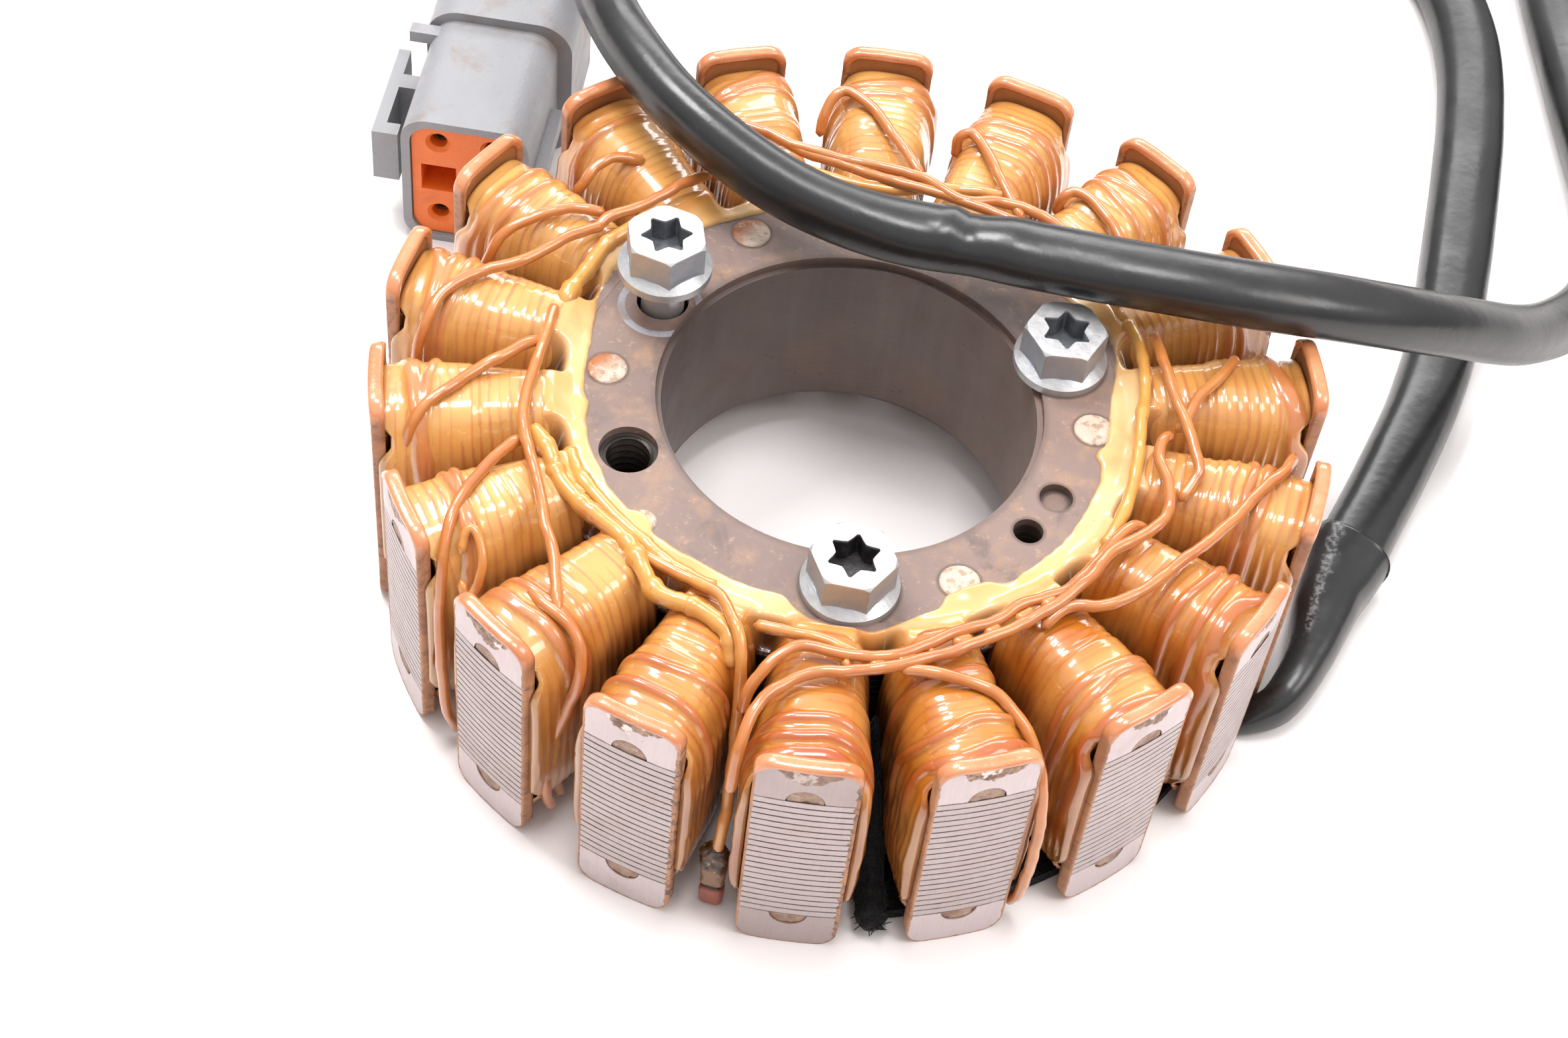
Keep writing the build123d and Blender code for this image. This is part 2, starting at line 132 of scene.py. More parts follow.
def curve_through(pts, gap=0.6):
    """Evenly spaced points on a smooth curve through pts."""
    p = np.asarray(pts, float)
    p = np.vstack([2 * p[0] - p[1], p, 2 * p[-1] - p[-2]])
    out = []
    for i in range(1, len(p) - 2):
        a, b, c, d = p[i - 1:i + 3]
        for t in np.linspace(0, 1, 24, endpoint=False):
            out.append(0.5 * (2 * b + (c - a) * t + (2 * a - 5 * b + 4 * c - d) * t * t
                              + (3 * b - a - 3 * c + d) * t ** 3))
    out.append(p[-2])
    out = np.array(out)
    s = np.r_[0, np.cumsum(np.linalg.norm(np.diff(out, axis=0), axis=1))]
    n = max(4, int(s[-1] / gap))
    q = np.linspace(0, s[-1], n)
    return np.stack([np.interp(q, s, out[:, k]) for k in range(3)], -1), q


def frames_along(line):
    tan = np.gradient(line, axis=0)
    tan /= np.linalg.norm(tan, axis=1)[:, None]
    side = np.cross(tan[0], (0, 0, 1.0))
    if np.linalg.norm(side) < 1e-3:
        side = np.cross(tan[0], (0, 1.0, 0))
    side /= np.linalg.norm(side)
    sides = [side]
    for k in range(1, len(line)):
        side = sides[-1] - tan[k] * (sides[-1] @ tan[k])
        sides.append(side / np.linalg.norm(side))
    sides = np.array(sides)
    return tan, sides, np.cross(sides, tan)


class Bundle:
    """Several wires gathered into one mesh."""
    def __init__(self):
        self.v, self.f, self.tone, self.var = [], [], [], []
        self.n = 0

    def wire(self, pts, r=0.79, tone=0.0, varn=0.3, seed=1, sides=10, gap=0.6, sag=0.0, taper=True):
        line, s = curve_through(pts, gap)
        line = line + np.stack([noise1(s, seed + 7 * k, 9.0) for k in range(3)], -1) * 0.10
        tan, u, w = frames_along(line)
        rad = r * (1 + 0.05 * noise1(s, seed + 50, 5.0) + sag * np.clip(noise1(s, seed + 51, 7.0), 0, 1))
        if taper:
            d = np.minimum(s, s[-1] - s)
            rad = rad * np.sqrt(np.clip(1 - (1 - np.clip(d / (r * 0.9), 0, 1)) ** 2, 0.02, 1))
        ang = np.linspace(0, TAU, sides, endpoint=False)
        ring = (line[:, None, :] + rad[:, None, None] * (np.cos(ang)[None, :, None] * u[:, None, :]
                + np.sin(ang)[None, :, None] * w[:, None, :]))
        if sag:
            ring[..., 2] -= sag * 0.5 * np.clip(-(ring[..., 2] - line[:, None, 2]), 0, 9)
        n, m = len(line), sides
        self.v.append(ring.reshape(-1, 3))
        self.f += grid_faces(n, m, wrap_m=True, base=self.n)
        self.f.append(list(range(self.n, self.n + m)))
        self.f.append(list(range(self.n + (n - 1) * m, self.n + n * m)))
        self.tone.append(np.full(n * m, tone) + 0.12 * np.repeat(noise1(s, seed + 60, 14.0), m))
        self.var.append(np.full(n * m, varn) + 0.35 * np.repeat(noise1(s, seed + 61, 8.0), m))
        self.n += n * m

    def done(self, name, mat, slot):
        return make(name, np.vstack(self.v), self.f, mat,
                    {"tone": np.clip(np.concatenate(self.tone), 0, 1), "varn": np.clip(np.concatenate(self.var), 0, 1)})


# ================================================================= node materials
def srgb(r, g, b):
    out = []
    for c in (r, g, b):
        c /= 255.0
        out.append(c / 12.92 if c <= 0.04045 else ((c + 0.055) / 1.055) ** 2.4)
    return (*out, 1.0)


class Mat:
    """Small builder for a node material."""
    def __init__(self, name):
        self.mat = bpy.data.materials.new(name)
        self.mat.use_nodes = True
        self.t = self.mat.node_tree
        self.bsdf = self.t.nodes["Principled BSDF"]
        self.co = self.t.nodes.new("ShaderNodeTexCoord").outputs["Object"]

    def put(self, socket, value):
        target = self.bsdf.inputs[socket]
        if isinstance(value, bpy.types.NodeSocket):
            self.t.links.new(value, target)
        else:
            target.default_value = value

    def link(self, value, socket):
        if isinstance(value, bpy.types.NodeSocket):
            self.t.links.new(value, socket)
        else:
            socket.default_value = value

    def noise(self, scale, detail=3.0, rough=0.5, vec=None, dist=0.0):
        n = self.t.nodes.new("ShaderNodeTexNoise")
        n.inputs["Scale"].default_value = scale
        n.inputs["Detail"].default_value = detail
        n.inputs["Roughness"].default_value = rough
        n.inputs["Distortion"].default_value = dist
        self.t.links.new(vec or self.co, n.inputs["Vector"])
        return n.outputs["Fac"]

    def voronoi(self, scale, vec=None, feature="F1"):
        n = self.t.nodes.new("ShaderNodeTexVoronoi")
        n.feature = feature
        n.inputs["Scale"].default_value = scale
        self.t.links.new(vec or self.co, n.inputs["Vector"])
        return n.outputs["Distance"]

    def stretch(self, sx, sy, sz, vec=None):
        n = self.t.nodes.new("ShaderNodeMapping")
        n.inputs["Scale"].default_value = (sx, sy, sz)
        self.t.links.new(vec or self.co, n.inputs["Vector"])
        return n.outputs["Vector"]

    def math(self, op, a, b=0.0, c=0.0, clamp=False):
        n = self.t.nodes.new("ShaderNodeMath")
        n.operation = op
        n.use_clamp = clamp
        for k, v in enumerate((a, b, c)):
            self.link(v, n.inputs[k])
        return n.outputs[0]

    def ramp(self, fac, lo, hi, a=0.0, b=1.0, smooth=True):
        n = self.t.nodes.new("ShaderNodeMapRange")
        n.interpolation_type = "SMOOTHSTEP" if smooth else "LINEAR"
        self.link(fac, n.inputs["Value"])
        for k, v in (("From Min", lo), ("From Max", hi), ("To Min", a), ("To Max", b)):
            n.inputs[k].default_value = v
        return n.outputs["Result"]

    def mix(self, fac, a, b, mode="MIX"):
        n = self.t.nodes.new("ShaderNodeMix")
        n.data_type = "RGBA"
        n.blend_type = mode
        self.link(fac, n.inputs[0])
        self.link(a, n.inputs[6])
        self.link(b, n.inputs[7])
        return n.outputs[2]

    def attr(self, name):
        n = self.t.nodes.new("ShaderNodeAttribute")
        n.attribute_type = "GEOMETRY"
        n.attribute_name = name
        return n.outputs["Fac"]

    def xyz(self):
        n = self.t.nodes.new("ShaderNodeSeparateXYZ")
        self.t.links.new(self.co, n.inputs[0])
        return n.outputs[0], n.outputs[1], n.outputs[2]

    def radius(self):
        x, y, _ = self.xyz()
        return self.math("SQRT", self.math("ADD", self.math("MULTIPLY", x, x), self.math("MULTIPLY", y, y)))

    def near(self, x, y, r0, r1):
        """1 within r0 of the vertical line at x, y (metres), fading to 0 at r1."""
        px, py, _ = self.xyz()
        dx, dy = self.math("SUBTRACT", px, x), self.math("SUBTRACT", py, y)
        d = self.math("SQRT", self.math("ADD", self.math("MULTIPLY", dx, dx), self.math("MULTIPLY", dy, dy)))
        return self.ramp(d, r0, r1, 1.0, 0.0)

    def bump(self, height, distance, strength=1.0, normal=None):
        n = self.t.nodes.new("ShaderNodeBump")
        n.inputs["Strength"].default_value = strength
        n.inputs["Distance"].default_value = distance
        self.t.links.new(height, n.inputs["Height"])
        if normal is not None:
            self.t.links.new(normal, n.inputs["Normal"])
        self.t.links.new(n.outputs["Normal"], self.bsdf.inputs["Normal"])
        return n.outputs["Normal"]


def varnish_wire(name, gold, copper):
    """Enamelled wire under a thick, smooth amber varnish. Each colour is a pair: pale side, dark side."""
    m = Mat(name)
    crest_at, rope_at, gap_line_and_shade_at, tone, shade_at = (m.attr(k) for k in ("crest", "rope", "gap", "tone", "shade"))
    blot = m.noise(70.0, 3.0, 0.5)
    g = m.mix(tone, srgb(*gold[0]), srgb(*gold[1]))
    r = m.mix(tone, srgb(*copper[0]), srgb(*copper[1]))
    show = m.ramp(m.noise(150.0, 2.0, 0.5), 0.30, 0.62, 0.55, 1.0)
    c = m.mix(m.math("MULTIPLY", m.ramp(crest_at, 0.12, 0.80), show), g, r)
    c = m.mix(m.math("MULTIPLY", m.ramp(rope_at, 0.3, 1.0), 0.6), c, r)
    c = m.mix(m.ramp(blot, 0.50, 0.74, 0.0, 0.5), c, m.mix(tone, srgb(192, 132, 66), srgb(152, 74, 20)))
    c = m.mix(m.ramp(m.noise(48.0, 2.0, 0.5), 0.56, 0.72, 0.0, 0.35), c, m.mix(tone, srgb(236, 198, 126), srgb(208, 140, 56)))
    c = m.mix(m.ramp(m.noise(1700.0, 2.0, 0.6), 0.70, 0.78, 0.0, 0.5), c, srgb(110, 58, 28))
    # painted shade between the poles near the hub and on the lips beside the tips
    c = m.mix(shade_at, c, srgb(92, 44, 14))
    # dark hair lines between turns, plus painted shade in the open valleys, in the flank valleys and beside the rope
    # wires
    c = m.mix(gap_line_and_shade_at, c, srgb(52, 22, 8))
    m.put("Base Color", c)
    m.put("Roughness", 0.30)
    m.put("Coat Weight", 1.0)
    m.put("Coat Roughness", 0.045)
    m.put("Coat IOR", 1.55)
    h = m.math("ADD", m.noise(260.0, 2.0, 0.45), m.math("MULTIPLY", m.noise(1100.0, 2.0, 0.5), 0.08))
    m.bump(h, 0.0004, 0.30)
    return m.mat


COIL_MAT = varnish_wire("varnished_coil",
                        gold=((220, 168, 96), (186, 108, 26)),
                        copper=((202, 132, 82), (172, 80, 22)))


def wire_mat():
    m = Mat("crossover_wire")
    tone, varn = m.attr("tone"), m.attr("varn")
    c = m.mix(tone, srgb(190, 112, 58), srgb(210, 150, 66))
    c = m.mix(m.ramp(varn, 0.45, 0.95, 0.0, 0.6), c, srgb(214, 154, 76))
    c = m.mix(m.ramp(m.noise(160.0, 3.0, 0.55), 0.5, 0.74, 0.0, 0.5), c, srgb(170, 92, 52))
    c = m.mix(m.ramp(m.noise(1500.0, 2.0, 0.6), 0.68, 0.76, 0.0, 0.5), c, srgb(120, 62, 34))
    m.put("Base Color", c)
    m.put("Roughness", 0.3)
    m.put("Coat Weight", 1.0)
    m.put("Coat Roughness", 0.05)
    m.bump(m.noise(420.0, 2.0, 0.5), 0.0002, 0.3)
    return m.mat


WIRE_MAT = wire_mat()


def varnish_mat():
    m = Mat("cast_varnish")
    edge, warm, painted_gap_shade, plate = m.attr("edge"), m.attr("warm"), m.attr("painted_gap_shade"), m.attr("plate")
    c = m.mix(m.ramp(m.noise(60.0, 2.0, 0.5), 0.35, 0.7), srgb(236, 197, 144), srgb(228, 180, 116))
    c = m.mix(warm, c, srgb(218, 148, 76))
    c = m.mix(m.ramp(m.noise(150.0, 3.0, 0.5), 0.56, 0.78, 0.0, 0.4), c, srgb(198, 140, 76))
    c = m.mix(m.ramp(m.noise(1400.0, 2.0, 0.6), 0.72, 0.79, 0.0, 0.6), c, srgb(120, 80, 44))
    c = m.mix(edge, c, srgb(190, 154, 108))
    c = m.mix(plate, c, m.mix(m.ramp(m.noise(180.0, 4.0, 0.6), 0.4, 0.7), srgb(134, 112, 104), srgb(112, 92, 84)))
    # painted shade where the varnish falls away between the coils
    c = m.mix(painted_gap_shade, c, srgb(66, 34, 14))
    m.put("Base Color", c)
    m.put("Roughness", m.ramp(plate, 0.0, 1.0, 0.24, 0.5))
    m.put("Coat Weight", m.ramp(plate, 0.0, 1.0, 1.0, 0.1))
    m.put("Coat Roughness", 0.05)
    m.bump(m.math("ADD", m.noise(120.0, 2.0, 0.45), m.math("MULTIPLY", m.noise(900.0, 2.0, 0.5), 0.04)), 0.0006, 0.30)
    return m.mat


VARNISH_MAT = varnish_mat()


def coat_mat():
    """Varnish bead and coating round the pole tips."""
    m = Mat("tip_coating")
    worn, bead = m.attr("worn"), m.attr("bead")
    c = m.mix(m.ramp(m.noise(120.0, 3.0, 0.55), 0.35, 0.68), srgb(186, 134, 98), srgb(158, 108, 76))
    c = m.mix(bead, c, m.mix(m.ramp(m.noise(150.0, 3.0, 0.5), 0.35, 0.7), srgb(214, 142, 98), srgb(196, 120, 74)))
    c = m.mix(m.ramp(m.noise(500.0, 4.0, 0.6), 0.58, 0.75, 0.0, 0.3), c, srgb(146, 92, 60))
    dark = m.math("MULTIPLY", worn, m.ramp(m.noise(900.0, 4.0, 0.65), 0.48, 0.60))
    c = m.mix(dark, c, srgb(100, 78, 66))
    m.put("Base Color", c)
    m.put("Roughness", m.ramp(bead, 0.0, 1.0, 0.5, 0.26))
    m.put("Coat Weight", m.math("MULTIPLY", bead, 0.9))
    m.put("Coat Roughness", 0.08)
    m.bump(m.noise(520.0, 4.0, 0.6), 0.0004, 0.4)
    return m.mat


COAT_MAT = coat_mat()


def notch_mat():
    """Dull old coating left in the tips' notches."""
    m = Mat("notch_coating")
    c = m.mix(m.ramp(m.noise(420.0, 4.0, 0.6), 0.35, 0.68), srgb(176, 146, 126), srgb(140, 110, 94))
    c = m.mix(m.ramp(m.noise(1300.0, 4.0, 0.7), 0.58, 0.70, 0.0, 0.7), c, srgb(96, 72, 60))
    c = m.mix(m.ramp(m.noise(800.0, 3.0, 0.6), 0.62, 0.72, 0.0, 0.6), c, srgb(206, 180, 162))
    m.put("Base Color", c)
    m.put("Roughness", 0.55)
    m.bump(m.noise(900.0, 5.0, 0.7), 0.0005, 0.6)
    return m.mat


NOTCH_MAT = notch_mat()


def steel_face(name, laminated):
    """Core sheets: bare ground pole faces, coated sides, machined bore."""
    m = Mat(name)
    x, y, z = m.xyz()
    r = m.radius()
    face = m.ramp(r, 0.06380, 0.06386)
    bore = m.ramp(r, 0.0266, 0.0268, 1.0, 0.0)
    grain = m.noise(1.0, 4.0, 0.6, vec=m.stretch(3000.0, 3000.0, 260.0))
    if laminated:
        bare = m.mix(grain, srgb(176, 162, 160), srgb(196, 184, 182))
    else:
        bare = m.mix(grain, srgb(196, 182, 182), srgb(212, 200, 200))
    bare = m.mix(m.ramp(m.noise(120.0, 4.0, 0.6), 0.5, 0.78, 0.0, 0.4), bare, srgb(176, 156, 150))
    bare = m.mix(m.ramp(m.noise(1000.0, 3.0, 0.7), 0.70, 0.76, 0.0, 0.8), bare, srgb(110, 86, 76))
    coat = m.mix(m.noise(200.0, 4.0, 0.6), srgb(176, 120, 74), srgb(136, 88, 54))
    if laminated:
        # dark line between two sheets
        ph = m.math("FRACT", m.math("MULTIPLY", m.math("SUBTRACT", z, 0.006875), 800.0))
        off = m.math("ABSOLUTE", m.math("SUBTRACT", ph, 0.5))
        wob = m.math("MULTIPLY", m.math("SUBTRACT", m.noise(500.0, 3.0, 0.6), 0.5), 0.10)
        line = m.ramp(m.math("ADD", off, wob), 0.37, 0.44)
        bare = m.mix(m.math("MULTIPLY", line, 0.92), bare, srgb(76, 60, 58))
        wall = m.mix(m.noise(1.0, 3.0, 0.55, vec=m.stretch(260.0, 260.0, 26.0)), srgb(128, 112, 106), srgb(96, 84, 80))
        wall = m.mix(m.ramp(m.noise(70.0, 3.0, 0.5), 0.45, 0.8, 0.0, 0.5), wall, srgb(140, 108, 88))
        # painted shade on the left of the bore wall and painted light on its right
        wall = m.mix(m.ramp(x, -0.025, 0.012, 0.5, 0.0), wall, srgb(62, 50, 48))
        wall = m.mix(m.ramp(x, 0.008, 0.025, 0.0, 0.35), wall, srgb(146, 120, 108))
        wall = m.mix(m.ramp(m.noise(600.0, 3.0, 0.6), 0.68, 0.78, 0.0, 0.6), wall, srgb(60, 52, 54))
        wall = m.mix(m.math("MULTIPLY", line, 0.05), wall, srgb(46, 38, 34))
        coat = m.mix(m.math("MULTIPLY", line, 0.4), coat, srgb(84, 54, 34))
        # inside the hub's holes the sheets are bare grey brown steel, darkened further as painted shade, and the
        # threaded one is painted near black as painted shade
        coat = m.mix(m.ramp(r, 0.0376, 0.0380, 1.0, 0.0), coat, m.mix(m.noise(300.0, 4.0, 0.6), srgb(74, 62, 56), srgb(52, 44, 40)))
        bx, by = 0.0310 * math.cos(math.radians(-23.8)), 0.0310 * math.sin(math.radians(-23.8))
        coat = m.mix(m.near(bx, by, 0.0012, 0.0021), coat, m.mix(m.noise(500.0, 4.0, 0.6), srgb(136, 110, 98), srgb(104, 84, 76)))
        coat = m.mix(m.near(0.0314 * math.cos(math.radians(-154.3)), 0.0314 * math.sin(math.radians(-154.3)), 0.0044, 0.0046),
                     coat, srgb(40, 34, 30))
        c = m.mix(bore, coat, wall)
    else:
        # hub plate: brownish grey coated steel, mottled
        hub = m.mix(m.ramp(m.noise(45.0, 3.0, 0.5), 0.3, 0.7), srgb(134, 112, 104), srgb(110, 93, 88))
        hub = m.mix(m.ramp(m.noise(180.0, 4.0, 0.6), 0.46, 0.74, 0.0, 0.6), hub, srgb(168, 132, 104))
        hub = m.mix(m.ramp(m.noise(120.0, 4.0, 0.6, dist=0.6), 0.54, 0.72, 0.0, 0.7), hub, srgb(92, 78, 76))
        hub = m.mix(m.ramp(m.noise(700.0, 4.0, 0.7), 0.56, 0.72, 0.0, 0.5), hub, srgb(182, 150, 126))
        hub = m.mix(m.ramp(r, 0.0263, 0.0274, 0.5, 0.0), hub, srgb(90, 74, 68))
        # dark lines round the rivets and the small holes
        for at, ang, rad in ((0.033, 0, 0.0027), (0.033, 60, 0.0027), (0.033, 120, 0.0027), (0.033, 180, 0.0027),
                             (0.033, 300, 0.0027), (0.031, -23.8, 0.00225), (0.0312, -37.0, 0.0020)):
            a = math.radians(ang)
            hub = m.mix(m.math("MULTIPLY", m.near(at * math.cos(a), at * math.sin(a), rad + 0.0001, rad + 0.0006), 0.65), hub, srgb(80, 62, 54))
        # bright silver ring on the plate round the third bolt's hole
        ring = m.math("SUBTRACT", m.near(-0.02740, 0.01270, 0.0058, 0.0060), m.near(-0.02740, 0.01270, 0.0048, 0.0050))
        ring = m.math("MULTIPLY", ring, m.ramp(z, 0.03428, 0.03431))
        hub = m.mix(m.math("MULTIPLY", ring, m.ramp(m.noise(300.0, 3.0, 0.6), 0.38, 0.6, 0.2, 0.75)), hub, srgb(176, 180, 190))
        # painted shadow line round the seats of the two bolts that are home
        for at, ang in ((0.0317, -85.5), (0.0302, 22.5)):
            a = math.radians(ang)
            hub = m.mix(m.math("MULTIPLY", m.near(at * math.cos(a), at * math.sin(a), 0.0065, 0.0071), 0.75), hub, srgb(70, 56, 50))
        hubby = m.ramp(r, 0.0405, 0.0425, 1.0, 0.0)
        c = m.mix(hubby, coat, hub)
        # flaking brown patch at the top of the ground tips
        turn = m.math("MULTIPLY", m.math("ADD", m.math("ARCTAN2", y, x), math.pi / 2 + math.pi / 18), 9 / math.pi)
        side = m.math("ABSOLUTE", m.math("SUBTRACT", m.math("FRACT", turn), 0.5))
        side = m.math("POWER", m.math("DIVIDE", side, 0.17), 2.0)
        up = m.math("SUBTRACT", z, m.math("MULTIPLY", side, 0.0020))
        edge = m.math("ADD", up, m.math("MULTIPLY", m.math("SUBTRACT", m.noise(330.0, 4.0, 0.6), 0.5), 0.0056))
        flake = m.ramp(edge, 0.0373, 0.0376)
        scab = m.mix(m.ramp(m.noise(900.0, 4.0, 0.7), 0.35, 0.62), srgb(172, 140, 118), srgb(108, 82, 66))
        scab = m.mix(m.ramp(m.noise(520.0, 3.0, 0.6), 0.56, 0.62), scab, srgb(226, 214, 208))
        bare = m.mix(flake, bare, scab)
        seam = m.ramp(m.math("ABSOLUTE", m.math("SUBTRACT", z, 0.020)), 0.01318, 0.01332, 1.0, 0.0)
        bare = m.mix(m.math("MULTIPLY", seam, m.ramp(m.noise(400.0, 3.0, 0.6), 0.35, 0.5, 0.4, 0.95)), bare, srgb(58, 44, 42))
        bare = m.mix(m.math("MULTIPLY", m.near(0.0, -0.064, 0.0065, 0.0085), 0.45), bare, srgb(128, 106, 98))
    c = m.mix(face, c, bare)
    m.put("Base Color", c)
    m.put("Metallic", m.math("MULTIPLY", face, 0.35))
    rough = m.ramp(m.noise(160.0, 4.0, 0.6), 0.3, 0.7, 0.42, 0.56)
    m.put("Roughness", rough)
    h = m.math("ADD", m.math("MULTIPLY", grain, 0.3), m.noise(600.0, 4.0, 0.6))
    m.bump(h, 0.0002, 0.22)
    return m.mat


LAM_MAT = steel_face("core_sheets", True)
PLATE_MAT = steel_face("end_plates", False)


def zinc_mat():
    m = Mat("zinc_plated_steel")
    c = m.mix(m.noise(300.0, 4.0, 0.6), srgb(216, 216, 219), srgb(196, 194, 194))
    c = m.mix(m.ramp(m.noise(130.0, 4.0, 0.6), 0.55, 0.78, 0.0, 0.35), c, srgb(170, 158, 148))
    c = m.mix(m.ramp(m.noise(700.0, 5.0, 0.7), 0.62, 0.72, 0.0, 0.55), c, srgb(150, 126, 112))
    _, _, z = m.xyz()
    # painted shade: each bolt's hex sides and flange rim are painted darker blue grey than its top; worn only varies
    # this painted shade with noise
    for at, ang, lift, dark in ((31.7, -85.5, 0.0, 0.92), (30.2, 22.5, 0.0, 0.55), (30.45, 153.4, 0.0064, 0.55)):
        a = math.radians(ang)
        worn = m.ramp(m.noise(420.0, 4.0, 0.6), 0.3, 0.7, 0.75, 1.0)
        side = m.near(at * MM * math.cos(a), at * MM * math.sin(a), 0.0061, 0.0063)
        side = m.math("MULTIPLY", side, m.ramp(z, 0.0362 + lift, 0.0364 + lift, 0.0, 0.6))
        side = m.math("MULTIPLY", side, m.ramp(z, 0.0405 + lift, 0.0408 + lift, 1.0, 0.0))
        c = m.mix(m.math("MULTIPLY", side, worn), c, srgb(140, 152, 166))
        rim = m.near(at * MM * math.cos(a), at * MM * math.sin(a), 0.0067, 0.0070)
        rim = m.math("MULTIPLY", rim, m.ramp(z, 0.0362 + lift, 0.0364 + lift, 0.5, 0.0))
        c = m.mix(m.math("MULTIPLY", rim, worn), c, srgb(158, 162, 164))
        inside = m.near(at * MM * math.cos(a), at * MM * math.sin(a), 0.0036, 0.0039)
        inside = m.math("MULTIPLY", inside, m.ramp(z, 0.0366 + lift, 0.0367 + lift))
        inside = m.math("MULTIPLY", inside, m.ramp(z, 0.0404 + lift, 0.0408 + lift, 1.0, 0.0))
        c = m.mix(m.math("MULTIPLY", inside, m.ramp(m.noise(700.0, 3.0, 0.6), 0.3, 0.6, dark - 0.15, dark)), c, srgb(44, 34, 30))
    m.put("Base Color", c)
    m.put("Metallic", 0.7)
    m.put("Roughness", m.ramp(m.noise(500.0, 4.0, 0.6), 0.3, 0.7, 0.34, 0.5))
    m.bump(m.noise(900.0, 4.0, 0.6), 0.00015, 0.4)
    return m.mat


ZINC_MAT = zinc_mat()


def dark_steel():
    # threads painted near black: painted shade inside the tapped hole
    m = Mat("dark_threads")
    c = m.mix(m.noise(600.0, 4.0, 0.6), srgb(62, 54, 50), srgb(34, 29, 27))
    m.put("Base Color", c)
    m.put("Metallic", 0.6)
    m.put("Roughness", 0.38)
    m.bump(m.noise(1500.0, 3.0, 0.6), 0.0001, 0.4)
    return m.mat


DARK_STEEL = dark_steel()


def rivet_mat():
    m = Mat("rivet_heads")
    rust = m.attr("rust")
    c = m.mix(m.noise(420.0, 5.0, 0.65), srgb(222, 206, 190), srgb(184, 164, 146))
    c = m.mix(m.ramp(m.noise(800.0, 4.0, 0.65), 0.50, 0.62, 0.0, 0.75), c, srgb(158, 128, 104))
    orange = m.mix(m.noise(500.0, 4.0, 0.7), srgb(200, 126, 74), srgb(136, 78, 44))
    where = m.math("MULTIPLY", m.ramp(m.noise(380.0, 4.0, 0.65), 0.40, 0.52), rust)
    c = m.mix(where, c, orange)
    m.put("Base Color", c)
    m.put("Metallic", 0.1)
    m.put("Roughness", 0.5)
    m.bump(m.noise(700.0, 5.0, 0.7), 0.0006, 0.8)
    return m.mat


RIVET_MAT = rivet_mat()


def sheath_mat(name, with_light_band=False):
    m = Mat(name)
    fine = m.noise(900.0, 4.0, 0.6)
    c = m.mix(m.ramp(m.noise(30.0, 4.0, 0.55), 0.35, 0.7), srgb(31, 31, 32), srgb(42, 42, 43))
    c = m.mix(m.ramp(fine, 0.62, 0.8, 0.0, 0.35), c, srgb(74, 72, 70))
    if with_light_band:
        # a lighter grey band, flecked with noise, along the upper side
        fuzz = m.math("MULTIPLY", m.ramp(m.attr("seam"), 0.25, 0.7), m.ramp(m.noise(1400.0, 3.0, 0.6), 0.40, 0.60))
        c = m.mix(m.math("MULTIPLY", fuzz, 0.85), c, srgb(126, 126, 128))
    m.put("Base Color", c)
    m.put("Roughness", m.ramp(m.noise(60.0, 4.0, 0.6), 0.3, 0.7, 0.24, 0.36))
    m.put("Specular IOR Level", 0.6)
    h = m.math("ADD", m.math("MULTIPLY", m.noise(90.0, 3.0, 0.5), 1.0), m.math("MULTIPLY", fine, 0.12))
    m.bump(h, 0.0006, 0.35)
    return m.mat


SHEATH_MAT = sheath_mat("black_sheath")
SLEEVE_MAT = sheath_mat("outer_sleeve", True)


def woven_mat():
    m = Mat("woven_sleeve")
    weave = m.voronoi(1500.0)
    c = m.mix(m.ramp(weave, 0.1, 0.6), srgb(8, 8, 9), srgb(19, 19, 20))
    c = m.mix(m.ramp(m.noise(500.0, 4.0, 0.7), 0.55, 0.7, 0.0, 0.25), c, srgb(52, 50, 50))
    m.put("Base Color", c)
    m.put("Roughness", 0.7)
    m.put("Specular IOR Level", 0.15)
    m.put("Sheen Weight", 0.04)
    m.put("Sheen Roughness", 0.5)
    m.bump(weave, 0.0005, 0.7)
    return m.mat


WOVEN_MAT = woven_mat()


def plastic_mat(name, base, dirt, dirt_amount, rough):
    m = Mat(name)
    c = m.mix(m.noise(60.0, 4.0, 0.6), srgb(*base[0]), srgb(*base[1]))
    c = m.mix(m.ramp(m.noise(110.0, 5.0, 0.65, dist=0.4), 0.5, 0.74, 0.0, dirt_amount), c, srgb(*dirt))
    c = m.mix(m.ramp(m.noise(900.0, 4.0, 0.7), 0.6, 0.76, 0.0, dirt_amount * 0.8), c, srgb(*dirt))
    m.put("Base Color", c)
    m.put("Roughness", m.ramp(m.noise(300.0, 4.0, 0.6), 0.3, 0.7, rough, rough + 0.14))
    m.bump(m.math("ADD", m.noise(1600.0, 3.0, 0.6), m.noise(160.0, 3.0, 0.5)), 0.0003, 0.35)
    return m.mat


GREY_MAT = plastic_mat("grey_plastic", ((150, 150, 153), (136, 136, 140)), (130, 110, 92), 0.7, 0.4)
ORANGE_MAT = plastic_mat("orange_plastic", ((240, 122, 42), (228, 108, 36)), (150, 70, 30), 0.3, 0.34)
SEAL_MAT = plastic_mat("seal_rubber", ((150, 92, 52), (134, 80, 44)), (90, 60, 40), 0.3, 0.5)
INSUL_MAT = plastic_mat("wire_insulation", ((42, 42, 43), (34, 34, 35)), (70, 66, 62), 0.3, 0.42)
BRASS_MAT = plastic_mat("contact_metal", ((84, 68, 44), (60, 48, 32)), (30, 22, 16), 0.4, 0.3)


